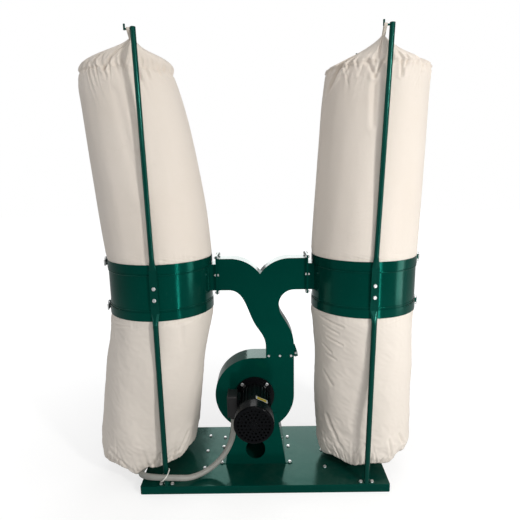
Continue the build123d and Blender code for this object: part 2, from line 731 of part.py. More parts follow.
# ---------------------------------------------------------------- motor
stator_radius = 74
stator_bore = 66
fin_tip = 80
fin_count = 28
fin_sheet = 3
stator_front = -255
stator_back = -80
core_length = 115
core_bore = 42
rotor_radius = 41.4
bearing_outer = 31
bearing_bore = 15
bearing_width = 16
cowl_radius = 92
cowl_front = -335
cowl_back = stator_front - 11
cowl_sheet = 2
core_front = (stator_front + stator_back - core_length) / 2
core_back = core_front + core_length


def motor_axis(y):
    """Place on the motor axis at this depth; what stands on it grows towards the fan cowl."""
    return Location((blower_x, y, blower_z), (90, 0, 0))


def ring(y_front, y_back, outer, inner=0):
    """Add a ring about the motor axis, between two depths."""
    length = y_back - y_front
    piece = Cylinder(outer, length, align=STANDING, mode=Mode.PRIVATE)
    if inner:
        piece = piece - Cylinder(inner, length, align=STANDING, mode=Mode.PRIVATE)
    add(piece.moved(motor_axis(y_back)))


def bore(y_front, y_back, radius):
    """Cut a round hole about the motor axis, between two depths."""
    with Locations(motor_axis(y_back)):
        Cylinder(radius, y_back - y_front, align=STANDING, mode=Mode.SUBTRACT)


box_back = -96
box_depth = 90
box_proud = 44
box_bottom = 354
box_height = 108
box_wall = 3
box_outer = -(fin_tip + box_proud)
box_y = box_back - box_depth / 2
plate_angle = 26
plate_radius = fin_tip + 3

with BuildPart() as stator_housing:
    ring(stator_front, stator_back, stator_radius)
    with BuildSketch(across(stator_back - 6)):
        with Locations((blower_x, blower_z)):
            with PolarLocations((stator_radius + fin_tip) / 2, fin_count):
                Rectangle(fin_tip - stator_radius + 2, fin_sheet)
    extrude(amount=stator_back - stator_front - 12)
    with Locations((blower_x - fin_tip + 4, box_y, box_bottom + box_height / 2)):
        Box(16, box_depth - 10, box_height - 34)
    with Locations(Location((blower_x, stator_front + 19, blower_z), (0, plate_angle, 0))):
        with Locations((0, 0, plate_radius)):
            Box(64, 30, 18, align=HANGING)
    bore(stator_front - 5, stator_back + 5, stator_bore)
save(stator_housing.part, "stator_housing")

with BuildPart() as nameplate:
    with Locations(Location((blower_x, stator_front + 19, blower_z), (0, plate_angle, 0))):
        with Locations((0, 0, plate_radius)):
            Box(60, 26, 0.8, align=STANDING)
save(nameplate.part, "nameplate")

with BuildPart() as stator_core:
    ring(core_front, core_back, stator_bore - running_gap, core_bore)
    ring(core_front - 14, core_back + 14, stator_bore - 5, core_bore + 4)
save(stator_core.part, "stator_core")

with BuildPart() as drive_end_shield:
    ring(housing_front - 10, housing_front, motor_flange_radius)
    ring(stator_back, housing_front - 10, stator_radius + 4)
    ring(stator_back - 6, stator_back, stator_bore - running_gap)
    bore(stator_back - 7, housing_front - 16, stator_bore - 7)
    ring(stator_back + 1, housing_front - 12, bearing_outer + 7)
    bore(stator_back - 1, stator_back + 1 + bearing_width + 2, bearing_outer)
    bore(stator_back - 1, housing_front + 1, bearing_bore + 2)
    with BuildSketch(across(housing_front)):
        with Locations(*motor_bolt_places):
            Circle(bolt_radius + bolt_clearance)
    extrude(amount=10, mode=Mode.SUBTRACT)
save(drive_end_shield.part, "drive_end_shield")

bearing_drive_back = stator_back + 3 + bearing_width
bearing_fan_front = stator_front - 17
with BuildPart() as fan_end_shield:
    ring(stator_front - 20, stator_front, stator_radius + 6)
    ring(stator_front, stator_front + 6, stator_bore - running_gap)
    bore(stator_front - 15, stator_front + 7, stator_bore - 7)
    ring(stator_front - 19, stator_front, bearing_outer + 7)
    bore(bearing_fan_front, stator_front + 1, bearing_outer)
    bore(stator_front - 21, stator_front + 1, 11)
save(fan_end_shield.part, "fan_end_shield")

with BuildPart() as motor_bearings:
    for front in (bearing_drive_back - bearing_width, bearing_fan_front):
        ring(front, front + bearing_width, bearing_outer - running_gap, bearing_bore + running_gap)
save(motor_bearings.part, "motor_bearings")

fan_depth = 30
fan_back = stator_front - 28
fan_front = fan_back - fan_depth
with BuildPart() as motor_shaft:
    ring(fan_front - 4, bearing_fan_front + 1, 10)
    ring(bearing_fan_front + 1, bearing_fan_front + bearing_width + 1, bearing_bore)
    ring(bearing_fan_front + bearing_width + 1, bearing_drive_back - bearing_width - 1, 19)
    ring(bearing_drive_back - bearing_width - 1, bearing_drive_back + 1, bearing_bore)
    ring(bearing_drive_back + 1, 12, shaft_impeller_radius)
save(motor_shaft.part, "motor_shaft")

with BuildPart() as motor_rotor:
    ring(core_front, core_back, rotor_radius, 19 + running_gap)
save(motor_rotor.part, "motor_rotor")

with BuildPart() as impeller_bolt:
    ring(12, 16, 24)
    ring(16, 23, 9)
save(impeller_bolt.part, "impeller_bolt")

fan_blades = 7
with BuildPart() as cooling_fan:
    ring(fan_front, fan_back, 20, 10 + running_gap)
    ring(fan_back - 3, fan_back, 66, 18)
    with BuildSketch(across(fan_back)):
        with Locations((blower_x, blower_z)):
            with PolarLocations(44, fan_blades):
                Rectangle(52, 2.5)
    extrude(amount=fan_back - fan_front)
save(cooling_fan.part, "cooling_fan")

grille_holes = {24: 8, 40: 14, 56: 20, 72: 26}
with BuildPart() as fan_cowl:
    ring(cowl_front, cowl_back, cowl_radius)
    fillet(fan_cowl.edges().group_by(Axis.Y)[0], 9)
    bore(cowl_front + cowl_sheet, cowl_back - cowl_sheet, cowl_radius - cowl_sheet)
    bore(cowl_back - 2 * cowl_sheet, cowl_back + 1, stator_radius + 6 + fit_gap)
    for pitch, count in grille_holes.items():
        with BuildSketch(across(cowl_front + 2 * cowl_sheet)):
            with Locations((blower_x, blower_z)):
                with PolarLocations(pitch, count):
                    Circle(4.6)
        extrude(amount=4 * cowl_sheet, mode=Mode.SUBTRACT)
save(fan_cowl.part, "fan_cowl")

cowl_screw_angles = (45, 135, 225, 315)
with BuildPart() as motor_bolts:
    with Locations(*[Location((x, housing_front - 10, z), (90, 0, 0)) for x, z in motor_bolt_places]):
        add(bolt(10 + housing_sheet))
    for a in cowl_screw_angles:
        with Locations(Location((blower_x, cowl_back + 5, blower_z), (0, a, 0))):
            with Locations((0, 0, stator_radius + 6)):
                Cylinder(4.5, 6, align=STANDING)
save(motor_bolts.part, "motor_bolts")

with BuildPart(Plane(origin=(blower_x, box_y, box_bottom))) as terminal_box:
    with Locations((box_outer, 0, 0)):
        Box(box_proud - 4, box_depth, box_height, align=(Align.MIN, Align.CENTER, Align.MIN))
        fillet(terminal_box.edges().filter_by(Axis.X), 8)
        box_inside = (box_proud - 4 - box_wall, box_depth - 2 * box_wall, box_height - 2 * box_wall)
        with Locations((-1, 0, box_wall)):
            Box(*box_inside, align=(Align.MIN, Align.CENTER, Align.MIN), mode=Mode.SUBTRACT)
    with Locations((box_outer + box_proud / 2 - 2, 0, 0)):
        Cylinder(10, 3 * box_wall, mode=Mode.SUBTRACT)
save(terminal_box.part, "terminal_box")

with BuildPart(Plane(origin=(blower_x + box_outer, box_y, box_bottom))) as terminal_box_lid:
    with Locations((0, 0, -3)):
        Box(6, box_depth + 6, box_height + 6, align=(Align.MAX, Align.CENTER, Align.MIN))
    fillet(terminal_box_lid.edges().filter_by(Axis.X), 8)
    fillet(terminal_box_lid.faces().sort_by(Axis.X)[0].edges(), 2.5)
save(terminal_box_lid.part, "terminal_box_lid")

gland_x = blower_x + box_outer + box_proud / 2 - 2
gland_length = 24
gland_nut = 17
with BuildPart(Plane(origin=(gland_x, box_y, box_bottom))) as motor_gland:
    Cylinder(9.6, box_wall + 6, align=STANDING)
    with BuildSketch(Plane(origin=(gland_x, box_y, box_bottom))):
        RegularPolygon(gland_nut, 6, major_radius=False)
    extrude(amount=-8)
    with Locations((0, 0, -8)):
        Cylinder(conduit_radius + 3, gland_length - 8, align=HANGING)
save(motor_gland.part, "motor_gland")

# ---------------------------------------------------------------- starter on the rear left leg
starter_width = 92
starter_depth = 66
starter_bottom = 560
starter_height = 150
starter_wall = 3
starter_y = tube_y + leg_radius + 12
starter_x = sides["left"]["foot_x"] - 1
lid_sheet = 4
button_radius = 11
button_gap = 0.25
button_proud = 7
button_flange = 14
button_travel = 4
start_z = starter_bottom + 102
stop_z = starter_bottom + 50
starter_plane = Plane(origin=(starter_x, starter_y, starter_bottom))
starter_face = starter_y + starter_depth

with BuildPart(starter_plane) as starter_box:
    Box(starter_width, starter_depth, starter_height, align=(Align.CENTER, Align.MIN, Align.MIN))
    fillet(starter_box.edges().filter_by(Axis.Y), 9)
    with Locations((0, starter_wall, starter_wall)):
        Box(
            starter_width - 2 * starter_wall,
            starter_depth,
            starter_height - 2 * starter_wall,
            align=(Align.CENTER, Align.MIN, Align.MIN),
            mode=Mode.SUBTRACT,
        )
    with Locations((0, starter_depth / 2, 0)):
        Cylinder(10, 3 * starter_wall, mode=Mode.SUBTRACT)
    with Locations((30, starter_depth / 2, 0)):
        Cylinder(6, 3 * starter_wall, mode=Mode.SUBTRACT)
save(starter_box.part, "starter_box")

with BuildPart(Plane(origin=(starter_x, starter_face, starter_bottom))) as starter_lid:
    Box(starter_width, lid_sheet, starter_height, align=(Align.CENTER, Align.MIN, Align.MIN))
    fillet(starter_lid.edges().filter_by(Axis.Y), 9)
    for z in (start_z, stop_z):
        with Locations(Location((0, 0, z - starter_bottom), (90, 0, 0))):
            Cylinder(button_radius + button_gap, 4 * lid_sheet, mode=Mode.SUBTRACT)
save(starter_lid.part, "starter_lid")

for name, z in (("start_button", start_z), ("stop_button", stop_z)):
    with BuildPart(Plane(origin=(starter_x, starter_face, z), x_dir=(1, 0, 0), z_dir=(0, 1, 0))) as button:
        Cylinder(button_radius, lid_sheet + button_proud + 2, align=STANDING)
        fillet(button.edges().group_by(Axis.Y)[-1], 1.5)
        with Locations((0, 0, -3)):
            Cylinder(button_radius, 6, align=STANDING)
            Cylinder(button_flange, 2.5, align=STANDING)
    save(button.part, name)

bracket_heights = (starter_bottom + 35, starter_bottom + 115)
bracket_front = drum_radius + 7
leg_base = Vector(sides["left"]["foot_x"], foot_y, base_height + foot_plate_sheet)
leg_end = Vector(sides["left"]["strap_x"], tube_y, leg_strap_bottom - transition)
with BuildPart() as starter_bracket:
    for z in bracket_heights:
        with Locations((starter_x, starter_y, z)):
            Box(44, starter_y - bracket_front, 18, align=(Align.CENTER, Align.MAX, Align.CENTER))
    with BuildSketch(Plane(origin=leg_base, x_dir=(1, 0, 0), z_dir=leg_end - leg_base)):
        Circle(leg_radius + 0.3)
    extrude(amount=(leg_end - leg_base).length, mode=Mode.SUBTRACT)
save(starter_bracket.part, "starter_bracket")

starter_gland_y = starter_y + starter_depth / 2
starter_gland_plane = Plane(origin=(starter_x, starter_gland_y, starter_bottom))
with BuildPart(starter_gland_plane) as starter_glands:
    Cylinder(9.6, starter_wall + 6, align=STANDING)
    with BuildSketch(starter_gland_plane):
        RegularPolygon(gland_nut, 6, major_radius=False)
    extrude(amount=-8)
    with Locations((0, 0, -8)):
        Cylinder(conduit_radius + 3, gland_length - 8, align=HANGING)
    with Locations((30, 0, 0)):
        Cylinder(5.8, starter_wall + 5, align=STANDING)
        Cylinder(8.5, 16, align=HANGING)
        with Locations((0, 0, -8)):
            Cylinder(3.5, 30, mode=Mode.SUBTRACT)
save(starter_glands.part, "starter_glands")

# ---------------------------------------------------------------- conduit from motor to starter
conduit_route = [
    (gland_x, box_y, box_bottom - gland_length),
    (gland_x, box_y, 268),
    (-164, -145, 202),
    (-202, -152, 132),
    (-254, -166, 82),
    (-310, -196, 62),
    (-362, -232, 66),
    (-407, -265, 91),
    (-460, -285, 108),
    (-519, -283, 109),
    (-572, -258, 98),
    (-606, -213, 78),
    (-615, -157, 61),
    (-597, -86, 56),
    (-572, 0, 57),
    (-560, 90, 57),
    (-541, 168, 62),
    (-519, 232, 90),
    (-499, 280, 158),
    (-485, 304, 242),
    (-477, 318, 336),
    (starter_x, starter_gland_y, 436),
    (starter_x, starter_gland_y, starter_bottom - gland_length),
]


def route_radii(points):
    """As large an arc at each corner as its two runs allow."""
    corners = [Vector(*p) for p in points]
    radii = []
    for before, here, after in zip(corners, corners[1:], corners[2:]):
        turn = (here - before).get_angle(after - here)
        run = min((here - before).length, (after - here).length)
        radii.append(0.45 * run / tan(radians(turn / 2)))
    return radii


conduit_radii = route_radii(conduit_route)
print("conduit bends", [round(r) for r in conduit_radii])
with BuildPart() as motor_conduit:
    with BuildLine() as conduit_line:
        conduit_path = FilletPolyline(*conduit_route, radius=conduit_radii)
    with BuildSketch(Plane(origin=conduit_route[0], z_dir=conduit_path % 0)):
        Circle(conduit_radius)
    sweep()
tube_volume = conduit_path.length * pi * conduit_radius**2
print("conduit length", round(conduit_path.length))
print("conduit volume ratio", round(motor_conduit.part.volume / tube_volume, 4))
save(motor_conduit.part, "motor_conduit")

tie_sheet = 1.4
tie_plane = Plane(origin=(sides["left"]["foot_x"], -(foot_y + 19), 109), x_dir=(0, 1, 0), z_dir=(1, 0, -1))
with BuildPart() as cable_tie:
    with BuildSketch(tie_plane):
        SlotOverall(76 + 2 * tie_sheet, 50 + 2 * tie_sheet)
        SlotOverall(76, 50, mode=Mode.SUBTRACT)
    extrude(amount=2.4, both=True)
save(cable_tie.part, "cable_tie")
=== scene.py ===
"""Two-bag dust collector: finishes, cloth bags, conduit and studio, laid out as a Blender add-on.

Metres, +Z up. The steel frame, drums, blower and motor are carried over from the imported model; the
cloth bags, their loops and the ribbed conduit are built here.
"""

import math

import bpy
import numpy as np
from mathutils import Matrix, Vector, noise


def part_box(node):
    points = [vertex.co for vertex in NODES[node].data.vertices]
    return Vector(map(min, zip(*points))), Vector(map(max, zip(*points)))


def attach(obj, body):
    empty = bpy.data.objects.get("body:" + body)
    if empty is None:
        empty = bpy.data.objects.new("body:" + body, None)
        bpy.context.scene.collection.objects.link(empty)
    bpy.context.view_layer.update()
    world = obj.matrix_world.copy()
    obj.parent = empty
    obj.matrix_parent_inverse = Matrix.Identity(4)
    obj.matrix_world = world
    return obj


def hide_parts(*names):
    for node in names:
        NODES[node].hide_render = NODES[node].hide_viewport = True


bl_info = {
    "name": "Two-Bag Dust Collector",
    "version": (1, 0, 0),
    "blender": (4, 5, 0),
    "location": "View3D > Sidebar > Dust Collector",
    "description": "Builds the bags, conduit and finishes of a workshop dust collector",
    "category": "Add Mesh",
}

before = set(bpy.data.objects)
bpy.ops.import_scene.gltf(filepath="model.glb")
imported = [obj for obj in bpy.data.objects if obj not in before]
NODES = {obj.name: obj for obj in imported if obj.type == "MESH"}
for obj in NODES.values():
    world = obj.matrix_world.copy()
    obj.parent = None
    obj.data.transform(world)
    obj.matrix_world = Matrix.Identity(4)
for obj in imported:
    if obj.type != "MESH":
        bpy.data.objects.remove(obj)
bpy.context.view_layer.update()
SIDES = ("left", "right")


# ------------------------------------------------------------------ what a user would change
class DustCollectorSizes(bpy.types.PropertyGroup):
    """Sizes of the cloth and the conduit."""

    cloth_thickness: bpy.props.FloatProperty(
        name="Cloth thickness", description="Thickness of the bag cloth", default=0.0014, unit="LENGTH"
    )
    weave_pitch: bpy.props.FloatProperty(
        name="Weave pitch", description="Distance between two threads", default=0.0012, unit="LENGTH"
    )
    hem_pucker: bpy.props.FloatProperty(
        name="Hem pucker",
        description="Depth of the puckers beside a hoop clamp",
        default=0.0032,
        unit="LENGTH",
    )
    rim_gather: bpy.props.FloatProperty(
        name="Rim gather",
        description="Depth of the gathers at a filter bag's rim",
        default=0.0085,
        unit="LENGTH",
    )
    crumple: bpy.props.FloatProperty(
        name="Crumple", description="Depth of the crumples in a dust bag", default=0.010, unit="LENGTH"
    )
    rib_pitch: bpy.props.FloatProperty(
        name="Rib pitch", description="Distance between two conduit ribs", default=0.0056, unit="LENGTH"
    )
    rib_depth: bpy.props.FloatProperty(
        name="Rib depth", description="Depth of the groove between two ribs", default=0.0018, unit="LENGTH"
    )


class DustCollectorColours(bpy.types.PropertyGroup):
    """Colours of the finishes."""

    enamel: bpy.props.FloatVectorProperty(
        name="Enamel",
        description="Gloss paint of the steelwork",
        subtype="COLOR",
        default=(0.0002, 0.037, 0.027),
    )
    cloth: bpy.props.FloatVectorProperty(
        name="Cloth", description="Unbleached filter cloth", subtype="COLOR", default=(0.81, 0.735, 0.66)
    )
    motor: bpy.props.FloatVectorProperty(
        name="Motor", description="Motor paint", subtype="COLOR", default=(0.0022, 0.0026, 0.0034)
    )
    conduit: bpy.props.FloatVectorProperty(
        name="Conduit", description="Ribbed conduit", subtype="COLOR", default=(0.29, 0.29, 0.265)
    )


# ------------------------------------------------------------------ node materials
class Finish:
    """A node material in the making: one main shader, and what feeds it."""

    def __init__(self, name, colour, roughness, metallic=0.0, **sockets):
        self.material = bpy.data.materials.new(name)
        self.material.use_nodes = True
        self.tree = self.material.node_tree
        self.shader = self.tree.nodes["Principled BSDF"]
        self.colour = (*colour, 1.0)
        self.shader.inputs["Base Color"].default_value = self.colour
        self.shader.inputs["Roughness"].default_value = roughness
        self.shader.inputs["Metallic"].default_value = metallic
        for socket, value in sockets.items():
            self.shader.inputs[socket.replace("_", " ")].default_value = value
        self.place = self.add("ShaderNodeTexCoord").outputs["Object"]
        self.height = None

    def add(self, kind, inputs=None, **settings):
        """New node with its settings and its input values or links."""
        made = self.tree.nodes.new(kind)
        for key, value in settings.items():
            setattr(made, key, value)
        for key, value in (inputs or {}).items():
            socket = made.inputs[key]
            if isinstance(value, bpy.types.NodeSocket):
                self.tree.links.new(value, socket)
            else:
                socket.default_value = value
        return made

    def stretched(self, scale, place=None):
        """Coordinates drawn out by a scale for each axis."""
        inputs = {"Vector": place or self.place, "Scale": scale}
        return self.add("ShaderNodeMapping", inputs).outputs["Vector"]

    def clouds(self, scale, detail=3.0, roughness=0.5, place=None):
        """Soft noise from 0 to 1."""
        inputs = {"Vector": place or self.place, "Scale": scale, "Detail": detail, "Roughness": roughness}
        return self.add("ShaderNodeTexNoise", inputs).outputs["Fac"]

    def math(self, operation, a, b=0.0):
        """One sum with two values or links."""
        return self.add("ShaderNodeMath", {0: a, 1: b}, operation=operation).outputs[0]

    def spread(self, value, low, high, new_low=0.0, new_high=1.0):
        """Maps a stretch of a value to another, and stops at its ends."""
        inputs = {"Value": value, 1: low, 2: high, 3: new_low, 4: new_high}
        return self.add("ShaderNodeMapRange", inputs).outputs[0]

    def tint(self, mask, colour):
        """Lays a colour over the shader's own where the mask is 1."""
        base = self.shader.inputs["Base Color"]
        below = base.links[0].from_socket if base.links else self.colour
        made = self.add("ShaderNodeMix", {"Factor": mask, 6: below, 7: (*colour, 1.0)}, data_type="RGBA")
        self.tree.links.new(made.outputs[2], base)

    def rough(self, value):
        """Lets a value set the roughness."""
        self.tree.links.new(value, self.shader.inputs["Roughness"])

    def bump(self, height, distance, strength=1.0):
        """Adds one more layer of relief."""
        inputs = {"Height": height, "Distance": distance, "Strength": strength}
        if self.height:
            inputs["Normal"] = self.height
        self.height = self.add("ShaderNodeBump", inputs).outputs["Normal"]
        self.tree.links.new(self.height, self.shader.inputs["Normal"])

    def upward(self):
        """How much the surface faces up, from 0 to 1."""
        normal = self.add("ShaderNodeNewGeometry").outputs["Normal"]
        up = self.add("ShaderNodeSeparateXYZ", {0: normal}).outputs["Z"]
        return self.spread(up, 0.5, 1.0)


def gloss_enamel(colour):
    """Bottle green enamel with a slight orange peel, fine scratches and a little dust on top faces."""
    f = Finish("gloss_enamel", colour, 0.2, Specular_IOR_Level=0.34, Specular_Tint=(0.02, 0.88, 0.66, 1))
    f.tint(f.spread(f.clouds(2.2, 4), 0.35, 0.75), (colour[0] * 0.6, colour[1] * 0.74, colour[2] * 0.76))
    specks = f.spread(f.clouds(90, 2), 0.62, 0.74)
    dust = f.math("MULTIPLY", f.upward(), f.spread(f.clouds(9, 5, 0.65), 0.42, 0.8, 0.0, 0.07))
    f.tint(dust, (0.16, 0.20, 0.15))
    f.tint(f.math("MULTIPLY", specks, 0.03), (0.10, 0.22, 0.16))
    scratches = f.spread(f.clouds(60, 2, 0.5, f.stretched((1.0, 1.0, 14.0))), 0.55, 0.8)
    haze = f.spread(f.clouds(5, 4), 0.3, 0.8, 0.09, 0.20)
    f.rough(f.math("ADD", haze, f.math("MULTIPLY", scratches, 0.10)))
    f.bump(f.clouds(16, 2), 0.0016, 0.35)
    f.bump(f.clouds(420, 2), 0.0003, 0.25)
    return f.material


def rod_enamel(colour):
    """The same green on drawn tube, a tenth darker as painted shade, glossier, with brush marks along the
    tube.
    """
    # painted shade: the rods take the enamel green darkened by a tenth
    shaded_green = tuple(c * 0.9 for c in colour)
    f = Finish("rod_enamel", shaded_green, 0.16, Specular_IOR_Level=0.4, Specular_Tint=(0.16, 0.80, 0.66, 1))
    f.rough(f.spread(f.clouds(1.0, 4, 0.5, f.stretched((90, 90, 3))), 0.3, 0.7, 0.10, 0.24))
    f.bump(f.clouds(1.0, 2, 0.5, f.stretched((160, 160, 5))), 0.0004, 0.3)
    return f.material


def zinc_plate():
    """Bright zinc with a faint spangle and a yellow passivation tint."""
    f = Finish("zinc_plate", (0.78, 0.79, 0.80), 0.34, 0.85)
    f.tint(f.spread(f.clouds(70, 3), 0.45, 0.7, 0.0, 0.3), (0.66, 0.64, 0.56))
    f.rough(f.spread(f.clouds(260, 3), 0.3, 0.7, 0.24, 0.46))
    f.bump(f.clouds(900, 2), 0.0002, 0.4)
    return f.material


def filter_cloth(colour, pitch):
    """Plain-woven cotton cloth, with thread relief, slubs, soft shade changes and a little grime."""
    f = Finish("filter_cloth", colour, 0.92, Sheen_Weight=0.25, Sheen_Roughness=0.5, Specular_IOR_Level=0.15)
    uv = f.add("ShaderNodeUVMap", uv_map="cloth_metres").outputs["UV"]
    along = f.add("ShaderNodeSeparateXYZ", {0: uv})
    turn = 2 * math.pi / pitch
    warp = f.math("SINE", f.math("MULTIPLY", along.outputs["X"], turn))
    weft = f.math("SINE", f.math("MULTIPLY", along.outputs["Y"], turn))
    slub = f.clouds(1.0, 3, 0.6, f.stretched((900, 60, 1), uv))
    shade = tuple(c * k for c, k in zip(colour, (0.93, 0.90, 0.86)))
    f.tint(f.spread(f.clouds(3.0, 5, 0.6), 0.45, 0.8, 0.0, 0.35), shade)
    f.tint(f.spread(f.clouds(14, 5, 0.7), 0.60, 0.85, 0.0, 0.22), (0.55, 0.49, 0.41))
    f.tint(f.spread(slub, 0.58, 0.8, 0.0, 0.22), (0.66, 0.59, 0.51))
    f.bump(f.clouds(26, 5, 0.62), 0.006, 0.35)
    f.bump(f.math("MULTIPLY", warp, weft), pitch * 0.3, 0.6)
    f.bump(slub, 0.0004, 0.5)
    return f.material


def motor_paint(colour):
    """Satin black paint over a sand-cast surface."""
    f = Finish("motor_paint", colour, 0.32, Coat_Weight=0.04, Coat_Roughness=0.15, Specular_IOR_Level=0.14)
    dust = f.math("MULTIPLY", f.upward(), f.spread(f.clouds(30, 5), 0.4, 0.8, 0.0, 0.12))
    f.tint(dust, (0.06, 0.055, 0.05))
    f.rough(f.spread(f.clouds(40, 4), 0.3, 0.7, 0.25, 0.42))
    f.bump(f.clouds(700, 3), 0.0004, 0.45)
    return f.material


def cowl_paint(colour):
    """Gloss black paint on pressed sheet."""
    f = Finish("cowl_paint", colour, 0.18, Coat_Weight=0.03, Coat_Roughness=0.05, Specular_IOR_Level=0.07)
    dust = f.math("MULTIPLY", f.upward(), f.spread(f.clouds(24, 5), 0.4, 0.8, 0.0, 0.06))
    f.tint(dust, (0.05, 0.045, 0.04))
    f.rough(f.spread(f.clouds(30, 3), 0.3, 0.7, 0.14, 0.28))
    f.bump(f.clouds(380, 2), 0.0003, 0.3)
    return f.material


def moulded_plastic(name, colour, roughness, grain=900):
    """Moulded plastic with a fine spark grain and faint flow marks."""
    f = Finish(name, colour, roughness)
    f.tint(f.spread(f.clouds(12, 3), 0.4, 0.8, 0.0, 0.3), tuple(c * 0.82 for c in colour))
    f.rough(f.spread(f.clouds(60, 3), 0.3, 0.7, roughness - 0.06, roughness + 0.08))
    f.bump(f.clouds(grain, 2), 0.0003, 0.35)
    return f.material


def blank_plate():
    """Yellow plate with a bright border and no lettering."""
    f = Finish("blank_plate", (0.72, 0.50, 0.05), 0.35, 0.6)
    generated = f.add("ShaderNodeTexCoord").outputs["Generated"]
    split = f.add("ShaderNodeSeparateXYZ", {0: generated})
    edges = [f.math("ABSOLUTE", f.math("SUBTRACT", split.outputs[axis], 0.5)) for axis in ("X", "Y")]
    f.tint(f.spread(f.math("MAXIMUM", *edges), 0.38, 0.41), (0.75, 0.75, 0.74))
    f.rough(f.spread(f.clouds(200, 3), 0.3, 0.7, 0.28, 0.45))
    f.bump(f.clouds(300, 3), 0.0002, 0.3)
    return f.material


def turned_steel():
    """Turned steel with tool marks round the motor axis."""
    f = Finish("turned_steel", (0.50, 0.50, 0.51), 0.3, 1.0)
    rings = f.clouds(1.0, 3, 0.5, f.stretched((6, 1400, 6)))
    f.rough(f.spread(rings, 0.3, 0.7, 0.2, 0.42))
    f.bump(rings, 0.0002, 0.5)
    return f.material


def laminations():
    """Stacked core sheets, seen as fine lines round the core."""
    f = Finish("laminations", (0.23, 0.22, 0.21), 0.45, 0.9)
    sheets = f.clouds(1.0, 1, 0.5, f.stretched((4, 2000, 4)))
    f.tint(f.spread(sheets, 0.45, 0.6, 0.0, 0.6), (0.12, 0.10, 0.08))
    f.bump(sheets, 0.0004, 0.7)
    return f.material


def grey_primer():
    """Matt grey primer with a dusty film."""
    f = Finish("grey_primer", (0.20, 0.21, 0.215), 0.55)
    f.tint(f.spread(f.clouds(18, 5), 0.45, 0.8, 0.0, 0.4), (0.33, 0.29, 0.23))
    f.rough(f.spread(f.clouds(50, 3), 0.3, 0.7, 0.48, 0.7))
    f.bump(f.clouds(500, 3), 0.0003, 0.4)
    return f.material


def conduit_plastic(colour):
    """Grey plastic conduit with a dull sheen and random patches of grime."""
    f = Finish("conduit_plastic", colour, 0.42, Coat_Weight=0.15, Coat_Roughness=0.3)
    f.tint(f.spread(f.clouds(22, 4), 0.42, 0.75, 0.0, 0.45), tuple(c * 0.62 for c in colour))
    f.rough(f.spread(f.clouds(80, 3), 0.3, 0.7, 0.34, 0.55))
    f.bump(f.clouds(700, 2), 0.0003, 0.3)
    return f.material


def glowing_studio_floor():
    """Seamless pale floor that glows to the eye as painted light, dimmer near the middle as painted shade
    round the machine, and dim to the gloss that mirrors it.
    """
    f = Finish("glowing_studio_floor", (0.42, 0.42, 0.42), 0.9, Specular_IOR_Level=0.1, Emission_Color=(1, 1, 1, 1))
    away = f.add("ShaderNodeVectorMath", {0: f.place}, operation="LENGTH").outputs["Value"]
    seen = f.add("ShaderNodeLightPath").outputs["Is Camera Ray"]
    # painted light: the floor glows for camera rays only, from 0.66 near the middle to 0.92 beyond 3.2 m, so
    # it reads darker round the machine as painted shade
    glow = f.math("MULTIPLY", f.spread(away, 0.8, 3.2, 0.66, 0.92), seen)
    f.tree.links.new(f.math("MAXIMUM", glow, 0.12), f.shader.inputs["Emission Strength"])
    f.rough(f.spread(f.clouds(3, 3), 0.3, 0.7, 0.8, 0.95))
    return f.material


def coat(material, *names):
    """Gives carried-over nodes one material."""
    for name in names:
        for slot in NODES[name].material_slots:
            slot.material = material


def named(*starts):
    """Nodes whose names start with one of these words."""
    return [name for name in sorted(NODES) if name.startswith(starts)]


# ------------------------------------------------------------------ mesh helpers
def grid_mesh(name, points, closed_rows=True, caps=(), uv=None):
    """Mesh over rows of points. Caps names the rows, 0 or -1, that a single face closes."""
    rows, columns = points.shape[:2]
    corners = points.reshape(-1, 3)
    faces = []
    last = columns if closed_rows else columns - 1
    for i in range(rows - 1):
        for j in range(last):
            k = (j + 1) % columns
            faces.append((i * columns + j, i * columns + k, (i + 1) * columns + k, (i + 1) * columns + j))
    for row in caps:
        ring = [(row % rows) * columns + j for j in range(columns)]
        faces.append(tuple(ring if row else reversed(ring)))
    mesh = bpy.data.meshes.new(name)
    mesh.from_pydata(corners.tolist(), [], faces)
    if uv is not None:
        layer = mesh.uv_layers.new(name="cloth_metres")
        around, up = uv
        corner = np.empty(len(mesh.loops), int)
        mesh.loops.foreach_get("vertex_index", corner)
        face = np.repeat(np.arange(len(mesh.polygons)), [polygon.loop_total for polygon in mesh.polygons])
        i, j = np.divmod(corner, columns)
        j = np.where((j == 0) & (face % last == last - 1), columns, j)
        layer.data.foreach_set("uv", np.stack([np.asarray(around)[j], np.asarray(up)[i]], -1).ravel())
    mesh.shade_smooth()
    made = bpy.data.objects.new(name, mesh)
    bpy.context.scene.collection.objects.link(made)
    return made


def eased(heights, table):
    """Smooth (centre, radius) at each height, through the rows of a table of (height, centre, radius)."""
    table = sorted(table)
    known = np.array([row[0] for row in table])
    out = []
    for column in (1, 2):
        values = np.array([row[column] for row in table])
        slopes = np.gradient(values, known)
        spot = np.clip(np.searchsorted(known, heights) - 1, 0, len(known) - 2)
        span = known[spot + 1] - known[spot]
        t = np.clip((heights - known[spot]) / span, 0, 1)
        a, b = values[spot], values[spot + 1]
        m, n = slopes[spot] * span, slopes[spot + 1] * span
        starts = (2 * t**3 - 3 * t**2 + 1) * a + (t**3 - 2 * t**2 + t) * m
        out.append(starts + (3 * t**2 - 2 * t**3) * b + (t**3 - t**2) * n)
    return out


def fade(value, start, end):
    """Smooth step from 0 at start to 1 at end."""
    t = np.clip((value - start) / (end - start), 0, 1)
    return t * t * (3 - 2 * t)


def field(shape, function):
    """Array filled by a function of row and column."""
    return np.array([[function(i, j) for j in range(shape[1])] for i in range(shape[0])])


